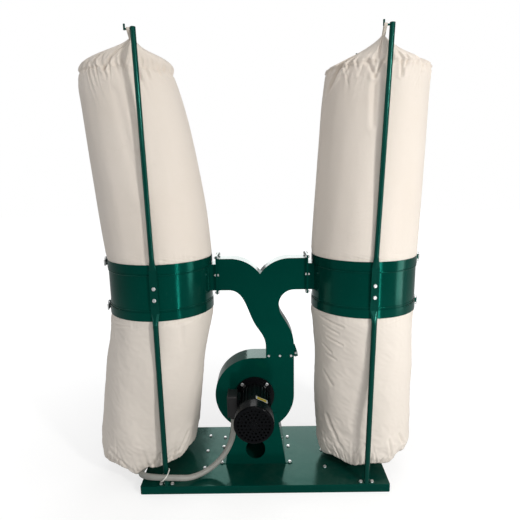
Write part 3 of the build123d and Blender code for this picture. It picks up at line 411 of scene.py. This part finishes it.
def creases(angles, heights, radius, folds):
    """Depth of listed folds.

    Each is (angle, height, angle, height, width, depth), in degrees and metres.
    """
    depth = np.zeros((len(heights), len(angles)))
    across, up = np.meshgrid(np.degrees(angles), heights)
    metres = math.radians(1) * radius
    for a0, z0, a1, z1, width, deep in folds:
        run = np.array([(a1 - a0) * metres, z1 - z0])
        away = ((across - a0 + 180) % 360 - 180) * metres
        rise = up - z0
        t = np.clip((away * run[0] + rise * run[1]) / (run @ run), 0, 1)
        gap = np.hypot(away - t * run[0], rise - t * run[1])
        depth += deep * np.exp(-((gap / width) ** 2)) * (0.35 + 0.65 * np.sin(math.pi * (0.15 + 0.75 * t)))
        depth -= 0.25 * deep * np.exp(-(((gap - 2.2 * width) / (1.3 * width)) ** 2))
    return depth


def pleats(angles, heights, radius, seam, count, seed, depth):
    """Depth of many narrow gathers about a sewn seam, longer below it than above it."""
    pick = np.random.RandomState(seed)
    total = np.zeros((len(heights), len(angles)))
    for place in (np.arange(count) + pick.uniform(-0.42, 0.42, count)) * 2 * math.pi / count:
        width, deep = pick.uniform(0.0035, 0.0085), depth * pick.uniform(0.25, 1.0)
        below, above, slant = pick.uniform(0.015, 0.075), pick.uniform(0.010, 0.030), pick.uniform(-0.5, 0.5)
        rise = heights - seam
        reach = np.exp(-np.where(rise < 0, -rise / below, rise / above) ** 1.5)
        away = (angles[None, :] - place + math.pi) % (2 * math.pi) - math.pi
        away = away * radius + slant * rise[:, None]
        lips = 0.45 * np.exp(-(((np.abs(away) - 2.1 * width) / width) ** 2))
        total += deep * reach[:, None] * (np.exp(-((away / width) ** 2)) - lips)
    return total


# ------------------------------------------------------------------ bag shapes
DRUM_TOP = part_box("drum_left")[1].z
DRUM_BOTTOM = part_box("drum_left")[0].z
SLEEVE = 0.0400
SLEEVE_RADIUS = 0.2486
SLEEVE_GIRTH = 2 * math.pi * SLEEVE_RADIUS
COLUMNS = 420
FILTER_SEEDS = {"left": 3.0, "right": 11.0}
DUST_SEEDS = {"left": 21.0, "right": 33.0}
RIM_PLEATS = 58
FLOOR_PLEATS = 44

# Rows of (height, centre, radius), then folds as creases() takes them.

FILTER_ROWS = {
    "left": [(1.13, -0.495, 0.249), (1.33, -0.515, 0.249), (1.60, -0.548, 0.242), (1.80, -0.577, 0.230),
             (1.90, -0.594, 0.219), (1.965, -0.602, 0.203)],
    "right": [(1.13, 0.495, 0.249), (1.335, 0.503, 0.246), (1.60, 0.515, 0.241), (1.868, 0.528, 0.237),
              (1.96, 0.538, 0.232)],
}
RIDGES = {"left": (-0.512, 2.056), "right": (0.500, 2.050)}
RIDGE_HALF = 0.238
SHOULDER = {"left": 0.026, "right": 0.006}
FILTER_FOLDS = {
    "left": [
        (-101, 1.945, -86, 2.025, 0.007, 0.011),
        (-101, 1.945, -106, 2.000, 0.006, 0.009),
        (-101, 1.948, -99, 1.910, 0.006, 0.006),
        (-112, 2.000, -117, 1.958, 0.006, 0.008),
        (-124, 1.985, -132, 1.945, 0.006, 0.006),
        (-138, 1.975, -150, 1.935, 0.006, 0.005),
        (-71, 2.030, -62, 1.905, 0.007, 0.009),
        (-45, 1.985, -41, 1.950, 0.006, 0.006),
        (-26, 1.972, -20, 1.940, 0.006, 0.006),
        (-92, 1.850, -88, 1.450, 0.020, 0.004),
        (80, 2.040, 86, 1.850, 0.008, 0.010),
        (95, 2.000, 92, 1.930, 0.006, 0.008),
        (110, 2.000, 118, 1.900, 0.008, 0.008),
        (40, 1.990, 30, 1.900, 0.008, 0.008),
        (150, 1.985, 160, 1.900, 0.008, 0.006),
    ],
    "right": [
        (-104, 2.035, -103, 1.965, 0.007, 0.012),
        (-114, 1.958, -105, 1.896, 0.007, 0.010),
        (-96, 1.962, -104, 1.896, 0.007, 0.010),
        (-104, 1.886, -102, 1.700, 0.010, 0.008),
        (-80, 1.978, -78, 1.895, 0.006, 0.009),
        (-72, 1.970, -75, 1.930, 0.006, 0.006),
        (-54, 1.975, -50, 1.925, 0.006, 0.008),
        (-40, 1.985, -56, 1.960, 0.006, 0.006),
        (-28, 1.970, -24, 1.920, 0.006, 0.006),
        (-117, 1.960, -120, 1.905, 0.006, 0.006),
        (-132, 1.972, -137, 1.930, 0.006, 0.007),
        (-144, 1.975, -152, 1.925, 0.007, 0.009),
        (-138, 1.998, -163, 1.855, 0.010, 0.018),
        (-166, 1.975, -184, 1.930, 0.007, 0.007),
        (95, 2.020, 88, 1.840, 0.008, 0.011),
        (84, 1.985, 90, 1.930, 0.006, 0.008),
        (62, 1.985, 54, 1.900, 0.008, 0.009),
        (130, 1.990, 140, 1.890, 0.008, 0.010),
    ],
}
DUST_ROWS = {
    "left": [(0.865, -0.495, 0.249), (0.80, -0.503, 0.245), (0.60, -0.541, 0.247), (0.355, -0.578, 0.247),
             (0.17, -0.604, 0.243), (0.11, -0.610, 0.231)],
    "right": [(0.865, 0.495, 0.249), (0.80, 0.498, 0.245), (0.489, 0.505, 0.240), (0.25, 0.514, 0.238),
              (0.13, 0.520, 0.232), (0.092, 0.520, 0.222)],
}
DUST_FLOOR = {"left": 0.088, "right": 0.068}
DUST_FOLDS = {
    "left": [
        (-150, 0.842, -118, 0.846, 0.005, 0.004),
        (-140, 0.822, -116, 0.836, 0.005, 0.004),
        (-158, 0.800, -142, 0.760, 0.007, 0.005),
        (-60, 0.850, -55, 0.720, 0.014, 0.004),
        (-128, 0.180, -104, 0.130, 0.009, 0.007),
        (-75, 0.120, -62, 0.200, 0.009, 0.007),
        (-40, 0.160, -32, 0.250, 0.010, 0.008),
        (-55, 0.130, -44, 0.170, 0.006, 0.006),
    ],
    "right": [
        (-155, 0.842, -122, 0.812, 0.005, 0.004),
        (-148, 0.800, -128, 0.776, 0.005, 0.004),
        (-144, 0.745, -124, 0.722, 0.005, 0.005),
        (-152, 0.700, -138, 0.672, 0.005, 0.004),
        (-146, 0.655, -132, 0.640, 0.005, 0.003),
        (-150, 0.560, -136, 0.500, 0.007, 0.004),
        (-146, 0.320, -128, 0.180, 0.010, 0.007),
        (-110, 0.150, -98, 0.210, 0.007, 0.006),
        (-50, 0.230, -38, 0.150, 0.008, 0.008),
        (-62, 0.120, -68, 0.220, 0.007, 0.006),
    ],
}


def angles_round():
    """Angles of a bag's columns, in radians from the +X side."""
    return np.linspace(0, 2 * math.pi, COLUMNS, endpoint=False)


def outwards(angles):
    """Level directions away from a bag's middle."""
    return np.stack([np.cos(angles), np.sin(angles), np.zeros_like(angles)], -1)


def cloth_metres(points):
    """Distances round a bag and up it, for the coordinates of its cloth."""
    step = np.linalg.norm(np.diff(points[:, 0], axis=0), axis=-1)
    return np.linspace(0, SLEEVE_GIRTH, COLUMNS + 1), np.concatenate([[0], np.cumsum(step)])


def ring(centre, radius, height, angles):
    """One level row of points."""
    level = np.full_like(angles, height)
    return np.stack([centre + radius * np.cos(angles), radius * np.sin(angles), level], -1)


def soft_noise(seed, angle, height, wide, tall, reach):
    """Noise wrapped round a bag, from about -1 to 1."""
    point = Vector((math.cos(angle) * wide + seed, math.sin(angle) * wide, height * tall + reach))
    return noise.noise(point)


def ridged(seed, angle, height, wide, tall):
    """Sharp-edged noise wrapped round a bag, from 0 to 1, for crumpled cloth."""
    point = Vector((math.cos(angle) * wide + seed, math.sin(angle) * wide, height * tall))
    return 1.0 - 2.0 * abs(noise.noise(point))


def hem_pucker(angles, away, depth, seed):
    """Small slanted puckers beside a clamp, as rows for the distance away from it."""
    slant = 18.0
    rows = []
    for distance in away:
        near = math.exp(-max(distance, 0) / 0.020) * min(1.0, max(0.0, distance / 0.004))
        broad = [soft_noise(seed, a + slant * distance, 0.0, 9.0, 1.0, 0.0) for a in angles]
        narrow = [0.7 * soft_noise(seed, a, 0.0, 21.0, 1.0, 4.0) for a in angles]
        rows.append(near * depth * (np.array(broad) + np.array(narrow)))
    return np.array(rows)


def finish_bag(made, node, material, thickness):
    """Gives a bag its thickness and finish, hangs it on the root body and hides the part it replaces."""
    made.data.materials.append(material)
    skin = made.modifiers.new("thickness", "SOLIDIFY")
    skin.thickness = thickness
    skin.offset = -1
    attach(made, "root")
    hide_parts(node)


def build_filter_bag(side, sizes, material):
    """Filter bag: clamped sleeve, leaning body, gathered rim and a tented top held by its two loops."""
    angles = angles_round()
    table = FILTER_ROWS[side]
    rim_height = table[-1][0]
    sleeve = np.linspace(DRUM_TOP - SLEEVE, DRUM_TOP + 0.003, 9)
    body = np.concatenate([
        np.linspace(DRUM_TOP + 0.004, DRUM_TOP + 0.05, 16),
        np.linspace(DRUM_TOP + 0.058, rim_height - 0.096, 90),
        np.linspace(rim_height - 0.092, rim_height, 30),
    ])
    centres, radii = eased(body, table)
    drum_centre = table[0][1]
    rows = [ring(drum_centre, SLEEVE_RADIUS, z, angles) for z in sleeve]
    rows += [ring(c, r, z, angles) for c, r, z in zip(centres, radii, body)]
    ridge_x, ridge_z = RIDGES[side]
    rim = rows[-1]
    across, along = 0.004 * np.cos(angles), RIDGE_HALF * np.sin(angles)
    pinch = np.stack([ridge_x + across, along, np.full_like(angles, ridge_z)], -1)
    roof = np.linspace(0, 1, 34)[1:]
    sag = 0.010 * (1 - np.abs(np.sin(angles))) ** 0.5
    for t in roof:
        row = rim * (1 - t) + pinch * t
        puff = SHOULDER[side] * math.sin(math.pi * t**0.6) * (1 - t) ** 0.7
        row[:, 0] += puff * np.cos(angles)
        row[:, 1] += 0.3 * puff * np.sin(angles)
        row[:, 2] += puff * 0.9 - sag * math.sin(math.pi * t) * (side == "right")
        rows.append(row)
    points = np.array(rows)
    heights = points[:, :, 2].mean(axis=1)
    seed = FILTER_SEEDS[side]

    outward = outwards(angles)
    free = fade(heights, DRUM_TOP + 0.004, DRUM_TOP + 0.03)[:, None]
    shape = (len(heights), COLUMNS)
    broad = field(shape, lambda i, j: soft_noise(seed, angles[j], heights[i], 1.5, 3.2, 0.0))
    ripple = field(shape, lambda i, j: soft_noise(seed, angles[j], heights[i], 3.6, 1.3, 7.0))
    above = heights - rim_height
    rim_near = np.exp(-np.abs(np.where(above > 0, above / 0.022, above / 0.040)))[:, None]
    roof_slack = fade(heights, rim_height, ridge_z)[:, None]
    depth = 0.0055 * broad * free + 0.0030 * ripple * free
    depth = depth * (1 - roof_slack) - 0.003 * rim_near
    depth = depth - pleats(
        angles, heights, table[-1][2], rim_height, RIM_PLEATS, int(seed), sizes.rim_gather
    )
    depth = depth - creases(angles, heights, 0.235, FILTER_FOLDS[side]) * free * (1 - 0.6 * roof_slack)
    depth = depth + hem_pucker(angles, heights - DRUM_TOP - 0.002, sizes.hem_pucker, seed)
    seam = 0.004 * np.exp(-(((heights - rim_height) / 0.004) ** 2))[:, None]
    seam = seam - 0.0035 * np.exp(-(((heights - rim_height + 0.011) / 0.006) ** 2))[:, None]
    depth = depth + seam
    points = points + outward[None] * depth[:, :, None]

    made = grid_mesh(f"filter_cloth_{side}", points, caps=(-1,), uv=cloth_metres(points))
    finish_bag(made, f"filter_bag_{side}", material, sizes.cloth_thickness)


def build_dust_bag(side, sizes, material):
    """Dust bag: clamped sleeve, slack crumpled body, a bunched lower seam and a wrinkled floor."""
    angles = angles_round()
    table = DUST_ROWS[side]
    low = table[-1][0]
    sleeve = np.linspace(DRUM_BOTTOM + SLEEVE, DRUM_BOTTOM - 0.003, 9)
    body = np.concatenate([
        np.linspace(DRUM_BOTTOM - 0.004, DRUM_BOTTOM - 0.05, 16),
        np.linspace(DRUM_BOTTOM - 0.056, low, 150),
    ])
    centres, radii = eased(body, table)
    rows = [ring(table[0][1], SLEEVE_RADIUS, z, angles) for z in sleeve]
    rows += [ring(c, r, z, angles) for c, r, z in zip(centres, radii, body)]
    floor_centre, floor_radius = table[-1][1:]
    floor_height = DUST_FLOOR[side]
    for share in np.linspace(1, 0.02, 40)[1:]:
        turn = math.sqrt(max(0.0, 1 - share**2))
        height = low + (floor_height - low) * min(1.0, 1.4 * turn)
        rows.append(ring(floor_centre, floor_radius * share, height, angles))
    points = np.array(rows)
    heights = points[:, :, 2].mean(axis=1)
    body_end = len(sleeve) + len(body)
    seed = DUST_SEEDS[side]
    shape = (len(rows), COLUMNS)

    outward = outwards(angles)
    free = fade(DRUM_BOTTOM - heights, 0.004, 0.04)[:, None]
    broad = field(shape, lambda i, j: soft_noise(seed, angles[j], heights[i], 1.9, 4.0, 0.0))
    lumps = field(shape, lambda i, j: soft_noise(seed, angles[j], heights[i], 4.4, 15.0, 3.0))
    sharp = field(shape, lambda i, j: ridged(seed, angles[j], heights[i], 2.7, 13.0))
    fine = field(shape, lambda i, j: ridged(seed + 5, angles[j] + 3 * heights[i], heights[i], 6.5, 30.0))
    slack = 0.45 + 0.55 * fade(-heights, -0.45, -0.10)[:, None]
    facing = 0.55 + 0.45 * (0.5 - 0.5 * np.cos(angles))[None, :]
    crumples = 0.26 * sharp * slack * facing + 0.24 * fine * slack * facing
    depth = sizes.crumple * (broad + 0.28 * lumps * slack + crumples)
    depth = depth * free - creases(angles, heights, 0.242, DUST_FOLDS[side]) * free
    depth = depth + hem_pucker(angles, DRUM_BOTTOM - heights - 0.002, sizes.hem_pucker, seed)
    seam_near = np.exp(-(((heights - low) / 0.022) ** 2))[:, None]
    depth = depth - 0.003 * seam_near
    depth = depth - pleats(
        angles, -heights, floor_radius, -low - 0.01, FLOOR_PLEATS, int(seed), sizes.crumple * 0.9
    )
    inner = np.ones(len(rows))
    inner[body_end:] = np.linspace(1, 0, len(rows) - body_end)
    points = points + outward[None] * (depth * inner[:, None])[:, :, None]

    slim = fade(-heights, -0.80, -0.12)[:, None] * (0.20 if side == "right" else 0.05)
    points[:, :, 1] *= 1 - slim
    drop = np.array([soft_noise(seed + 9, a, 0, 1.7, 1, 0) for a in angles])[None, :]
    bottom = fade(-heights, -(low + 0.10), -low)[:, None]
    wrinkle = field(shape, lambda i, j: ridged(seed + 2, angles[j], inner[i], 5.0, 5.0))
    points[:, :, 2] += 0.026 * drop * bottom * np.where(inner < 1, inner, 1)[:, None]
    points[:, :, 2] += 0.006 * wrinkle * (inner < 1)[:, None]
    if side == "left":
        corner = np.exp(-(((np.degrees(angles) - 266) / 9.0) ** 2))[None, :]
        points[:, :, 2] -= 0.034 * corner * bottom * inner[:, None] ** 3
    else:
        corner = np.exp(-(((np.degrees(angles) - 319) / 15.0) ** 2))[None, :]
        points[:, :, 2] += 0.048 * corner * bottom * inner[:, None] ** 2

    around, up = cloth_metres(points)
    points = points[::-1]
    made = grid_mesh(f"dust_cloth_{side}", points, caps=(0,), uv=(around, up[::-1]))
    finish_bag(made, f"dust_bag_{side}", material, sizes.cloth_thickness)


# ------------------------------------------------------------------ loops on the hooks
BAR_DEPTH = 0.2645
BAR_DROP = 0.019
LOOP_RADIUS = 0.0062
LOOP_ACROSS = (-0.0065, -0.003, 0, 0.003, 0.0065)
LOOP_THICKNESS = 0.0016


def build_loop(side, end, material, rod_box):
    """One webbing loop: up from the ridge's end, over the hook bar and back down."""
    ridge_x, ridge_z = RIDGES[side]
    sign = -1 if end == "front" else 1
    bar_y = sign * BAR_DEPTH
    bar_z = rod_box[1].z - BAR_DROP
    low = Vector((ridge_x, sign * (RIDGE_HALF - 0.006), ridge_z - 0.006))
    top_x = (ridge_x + rod_box[0].x + 0.02) / 2 if side == "right" else ridge_x
    near_bar = Vector((top_x, bar_y - sign * LOOP_RADIUS, bar_z - 0.001))
    line = [low.lerp(near_bar, t) for t in np.linspace(0, 1, 8)]
    for a in np.linspace(math.pi, -math.pi * 0.25, 16)[1:]:
        turn_y, turn_z = sign * LOOP_RADIUS * math.cos(a), LOOP_RADIUS * math.sin(a)
        line.append(Vector((top_x, bar_y + turn_y, bar_z + turn_z)))
    start = line[-1]
    for t in np.linspace(0, 1, 8)[1:]:
        line.append(start.lerp(low + Vector((0, sign * 0.0025, -0.004)), t))
    rows = np.array([[p + Vector((dx, 0, 0)) for dx in LOOP_ACROSS] for p in line])
    made = grid_mesh(f"bag_loop_{side}_{end}", rows, closed_rows=False)
    made.data.materials.append(material)
    skin = made.modifiers.new("thickness", "SOLIDIFY")
    skin.thickness = LOOP_THICKNESS
    skin.offset = 0
    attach(made, "root")
    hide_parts("bag_loops")


# ------------------------------------------------------------------ conduit
CONDUIT_DIAMETER = 0.028
CONDUIT_SIDES = 20
CONDUIT_ROUTE = [
    (-0.150, -0.141, 0.330),
    (-0.150, -0.141, 0.268),
    (-0.164, -0.145, 0.202),
    (-0.202, -0.152, 0.132),
    (-0.254, -0.166, 0.082),
    (-0.310, -0.196, 0.062),
    (-0.362, -0.232, 0.066),
    (-0.407, -0.265, 0.091),
    (-0.460, -0.285, 0.108),
    (-0.519, -0.283, 0.109),
    (-0.572, -0.258, 0.098),
    (-0.606, -0.213, 0.078),
    (-0.615, -0.157, 0.061),
    (-0.597, -0.086, 0.056),
    (-0.572, 0.000, 0.057),
    (-0.560, 0.090, 0.057),
    (-0.541, 0.168, 0.062),
    (-0.519, 0.232, 0.090),
    (-0.499, 0.280, 0.158),
    (-0.485, 0.304, 0.242),
    (-0.477, 0.318, 0.336),
    (-0.475, 0.322, 0.436),
    (-0.475, 0.322, 0.536),
]


def route_points(name, route, steps):
    """Points along one smooth line through a route, closely spaced."""
    data = bpy.data.curves.new(name, "CURVE")
    data.dimensions = "3D"
    data.resolution_u = steps
    spline = data.splines.new("NURBS")
    spline.points.add(len(route) - 1)
    for point, place in zip(spline.points, route):
        point.co = (*place, 1.0)
    spline.order_u = 3
    spline.use_endpoint_u = True
    carrier = bpy.data.objects.new(name, data)
    bpy.context.scene.collection.objects.link(carrier)
    line = bpy.data.meshes.new_from_object(carrier)
    points = [v.co.copy() for v in line.vertices]
    bpy.data.objects.remove(carrier)
    bpy.data.meshes.remove(line)
    return points


def evenly(points, spacing):
    """The same line with evenly spaced points."""
    places = np.array(points)
    run = np.concatenate([[0], np.cumsum(np.linalg.norm(np.diff(places, axis=0), axis=1))])
    wanted = np.linspace(0, run[-1], max(2, round(run[-1] / spacing)))
    return np.stack([np.interp(wanted, run, places[:, axis]) for axis in range(3)], -1), wanted


def tube_rows(line, radii, sides):
    """Rings of points about a line, without twist."""
    ahead = np.gradient(line, axis=0)
    ahead /= np.linalg.norm(ahead, axis=1)[:, None]
    side = np.cross(ahead[0], (0.3, 1.0, 0.2))
    turn = np.linspace(0, 2 * math.pi, sides, endpoint=False)
    rows = []
    for place, forward, radius in zip(line, ahead, radii):
        side = side - forward * (side @ forward)
        side /= np.linalg.norm(side)
        other = np.cross(forward, side)
        rows.append(place + radius * (np.cos(turn)[:, None] * side + np.sin(turn)[:, None] * other))
    return np.array(rows)


# ------------------------------------------------------------------ operators
class DUSTCOLLECTOR_OT_steelwork(bpy.types.Operator):
    """Paint the base, frame, drums, duct and blower"""

    bl_idname = "dustcollector.steelwork"
    bl_label = "Painted Steelwork"

    def execute(self, context):
        colour = context.scene.dust_colours.enamel
        sheet_metal = named("base_tray", "drum_left", "drum_right", "hoop", "pedestal", "housing")
        coat(gloss_enamel(colour), *sheet_metal, *named("inlet_manifold", "y_duct"))
        coat(rod_enamel(colour), *named("legs", "bag_rods"))
        return {"FINISHED"}


class DUSTCOLLECTOR_OT_fasteners(bpy.types.Operator):
    """Plate the bolts, latches and bracket"""

    bl_idname = "dustcollector.fasteners"
    bl_label = "Bolts and Latches"

    def execute(self, context):
        zinc = zinc_plate()
        coat(zinc, *named("base_bolts", "drum_bolts", "duct_bolts", "inlet_bolts", "motor_bolts"))
        coat(zinc, *named("latch", "impeller_bolt", "starter_bracket"))
        return {"FINISHED"}


class DUSTCOLLECTOR_OT_motor(bpy.types.Operator):
    """Finish the motor, its terminal box and the impeller"""

    bl_idname = "dustcollector.motor"
    bl_label = "Motor and Impeller"

    def execute(self, context):
        colour = context.scene.dust_colours.motor
        coat(motor_paint(colour), "stator_housing", "drive_end_shield", "fan_end_shield")
        coat(cowl_paint(colour), "fan_cowl")
        black = moulded_plastic("black_plastic", (0.006, 0.006, 0.007), 0.42)
        coat(black, *named("terminal_box", "motor_gland", "cooling_fan"))
        coat(blank_plate(), "nameplate")
        coat(turned_steel(), "motor_bearings", "motor_shaft")
        coat(laminations(), "stator_core", "motor_rotor")
        coat(grey_primer(), "impeller_wheel", "impeller_hub")
        return {"FINISHED"}


class DUSTCOLLECTOR_OT_starter(bpy.types.Operator):
    """Finish the starter box and its buttons"""

    bl_idname = "dustcollector.starter"
    bl_label = "Starter"

    def execute(self, context):
        coat(moulded_plastic("grey_plastic", (0.36, 0.37, 0.38), 0.48, 700), "starter_box", "starter_lid")
        coat(bpy.data.materials["black_plastic"], "starter_glands")
        coat(moulded_plastic("green_button", (0.01, 0.30, 0.06), 0.22, 300), "start_button")
        coat(moulded_plastic("red_button", (0.55, 0.012, 0.010), 0.22, 300), "stop_button")
        return {"FINISHED"}


class DUSTCOLLECTOR_OT_filter_bags(bpy.types.Operator):
    """Build the two filter bags"""

    bl_idname = "dustcollector.filter_bags"
    bl_label = "Filter Bags"

    def execute(self, context):
        sizes = context.scene.dust_sizes
        material = filter_cloth(context.scene.dust_colours.cloth, sizes.weave_pitch)
        for side in SIDES:
            build_filter_bag(side, sizes, material)
        return {"FINISHED"}


class DUSTCOLLECTOR_OT_dust_bags(bpy.types.Operator):
    """Build the two dust bags"""

    bl_idname = "dustcollector.dust_bags"
    bl_label = "Dust Bags"

    def execute(self, context):
        sizes = context.scene.dust_sizes
        for side in SIDES:
            build_dust_bag(side, sizes, bpy.data.materials["filter_cloth"])
        return {"FINISHED"}


class DUSTCOLLECTOR_OT_loops(bpy.types.Operator):
    """Build the four webbing loops that hold the filter bags up"""

    bl_idname = "dustcollector.loops"
    bl_label = "Bag Loops"

    def execute(self, context):
        webbing = moulded_plastic("webbing", (0.62, 0.56, 0.49), 0.85, 1400)
        for side in SIDES:
            for end in ("front", "back"):
                build_loop(side, end, webbing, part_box(f"bag_rods_{side}"))
        return {"FINISHED"}


class DUSTCOLLECTOR_OT_conduit(bpy.types.Operator):
    """Build the ribbed conduit and finish its tie"""

    bl_idname = "dustcollector.conduit"
    bl_label = "Conduit"

    def execute(self, context):
        sizes = context.scene.dust_sizes
        line, run = evenly(route_points("conduit_route", CONDUIT_ROUTE, 24), sizes.rib_pitch / 4)
        groove = 0.5 - 0.5 * np.cos(2 * math.pi * run / sizes.rib_pitch)
        radii = CONDUIT_DIAMETER / 2 - sizes.rib_depth * groove**2
        made = grid_mesh("ribbed_conduit", tube_rows(line, radii, CONDUIT_SIDES), caps=(0, -1))
        made.data.materials.append(conduit_plastic(context.scene.dust_colours.conduit))
        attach(made, "root")
        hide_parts("motor_conduit")
        coat(moulded_plastic("tie_nylon", (0.62, 0.62, 0.58), 0.35, 500), "cable_tie")
        return {"FINISHED"}


# ------------------------------------------------------------------ stage
FLOOR_HALF = 14.0
CAMERA_PLACE = Vector((0.00375, -2.2022, 1.5218))
CAMERA_TURN = (-0.33, -11.05, -0.88)
CAMERA_LENS = 31.645
ROOM_LIGHT = 0.42
LIGHTS = [
    # name, place, aimed at, width, height, power, colour
    ("key", (2.6, -3.3, 2.5), (0, 0, 1.1), 0.40, 0.55, 74, (1.0, 0.985, 0.95)),
    ("side", (3.6, -1.0, 0.98), (0, 0, 1.0), 1.0, 1.9, 27, (1.0, 0.99, 0.97)),
    ("strip", (1.25, -1.8, 0.80), (0.0, 0, 1.0), 0.16, 1.2, 7, (1.0, 1.0, 1.0)),
    ("front", (0.6, -4.2, 2.6), (0, 0, 1.0), 2.4, 1.6, 22, (1.0, 0.99, 0.97)),
    ("fill", (-3.4, -2.0, 1.9), (0, 0, 1.0), 1.8, 2.4, 20, (0.96, 0.98, 1.0)),
    ("top", (0.2, -0.6, 4.6), (0, 0, 0.8), 3.0, 2.2, 20, (1.0, 1.0, 1.0)),
    ("behind", (0.3, 3.6, 2.0), (0, 0, 1.0), 2.2, 2.0, 34, (1.0, 1.0, 1.0)),
]


class DUSTCOLLECTOR_OT_stage(bpy.types.Operator):
    """Set the floor, lights and camera"""

    bl_idname = "dustcollector.stage"
    bl_label = "Studio"

    def execute(self, context):
        scene = context.scene
        corners = [[(x, y, 0) for x in (-FLOOR_HALF, FLOOR_HALF)] for y in (-FLOOR_HALF, FLOOR_HALF)]
        floor = grid_mesh("studio_floor", np.array(corners, float), closed_rows=False)
        floor.data.materials.append(glowing_studio_floor())

        world = bpy.data.worlds.new("studio")
        world.use_nodes = True
        tree = world.node_tree
        backdrop = tree.nodes["Background"]
        backdrop.inputs["Color"].default_value = (1.0, 1.0, 1.0, 1.0)
        room = tree.nodes.new("ShaderNodeBackground")
        room.inputs["Strength"].default_value = ROOM_LIGHT
        mix = tree.nodes.new("ShaderNodeMixShader")
        rays = tree.nodes.new("ShaderNodeLightPath")
        tree.links.new(rays.outputs["Is Camera Ray"], mix.inputs[0])
        tree.links.new(room.outputs[0], mix.inputs[1])
        tree.links.new(backdrop.outputs[0], mix.inputs[2])
        tree.links.new(mix.outputs[0], tree.nodes["World Output"].inputs["Surface"])
        scene.world = world
        scene.view_settings.view_transform = "Standard"

        for name, place, aim, width, height, power, colour in LIGHTS:
            data = bpy.data.lights.new(name, "AREA")
            data.shape = "RECTANGLE"
            data.size, data.size_y = width, height
            data.energy = power
            data.color = colour
            lamp = bpy.data.objects.new(name, data)
            lamp.location = place
            lamp.rotation_euler = (Vector(aim) - Vector(place)).to_track_quat("-Z", "Y").to_euler()
            scene.collection.objects.link(lamp)

        yaw, pitch, roll = (math.radians(a) for a in CAMERA_TURN)
        ahead = Vector((math.sin(yaw) * math.cos(pitch), math.cos(yaw) * math.cos(pitch), math.sin(pitch)))
        level = Vector((math.cos(yaw), -math.sin(yaw), 0))
        upright = level.cross(ahead)
        right = level * math.cos(roll) + upright * math.sin(roll)
        up = upright * math.cos(roll) - level * math.sin(roll)
        turn = Matrix((right, up, -ahead)).transposed().to_4x4()
        data = bpy.data.cameras.new("camera")
        data.lens = CAMERA_LENS
        data.sensor_width = 36.0
        camera = bpy.data.objects.new("camera", data)
        camera.matrix_world = Matrix.Translation(CAMERA_PLACE) @ turn
        scene.collection.objects.link(camera)
        scene.camera = camera
        return {"FINISHED"}


class DUSTCOLLECTOR_PT_panel(bpy.types.Panel):
    """Lists the steps that build the machine"""

    bl_idname = "DUSTCOLLECTOR_PT_panel"
    bl_label = "Dust Collector"
    bl_space_type = "VIEW_3D"
    bl_region_type = "UI"
    bl_category = "Dust Collector"

    def draw(self, context):
        for group in (context.scene.dust_sizes, context.scene.dust_colours):
            for key in group.__annotations__:
                self.layout.prop(group, key)
        for step in STEPS:
            self.layout.operator(step.bl_idname)


STEPS = (
    DUSTCOLLECTOR_OT_stage,
    DUSTCOLLECTOR_OT_conduit,
    DUSTCOLLECTOR_OT_steelwork,
    DUSTCOLLECTOR_OT_fasteners,
    DUSTCOLLECTOR_OT_motor,
    DUSTCOLLECTOR_OT_starter,
    DUSTCOLLECTOR_OT_filter_bags,
    DUSTCOLLECTOR_OT_dust_bags,
    DUSTCOLLECTOR_OT_loops,
)
CLASSES = (DustCollectorSizes, DustCollectorColours, *STEPS, DUSTCOLLECTOR_PT_panel)


def register():
    for cls in CLASSES:
        bpy.utils.register_class(cls)
    bpy.types.Scene.dust_sizes = bpy.props.PointerProperty(type=DustCollectorSizes)
    bpy.types.Scene.dust_colours = bpy.props.PointerProperty(type=DustCollectorColours)


def unregister():
    del bpy.types.Scene.dust_colours
    del bpy.types.Scene.dust_sizes
    for cls in reversed(CLASSES):
        bpy.utils.unregister_class(cls)


def main():
    """Runs every step in order."""
    register()
    for step in STEPS:
        group, action = step.bl_idname.split(".")
        getattr(getattr(bpy.ops, group), action)()


if __name__ == "__main__":
    main()
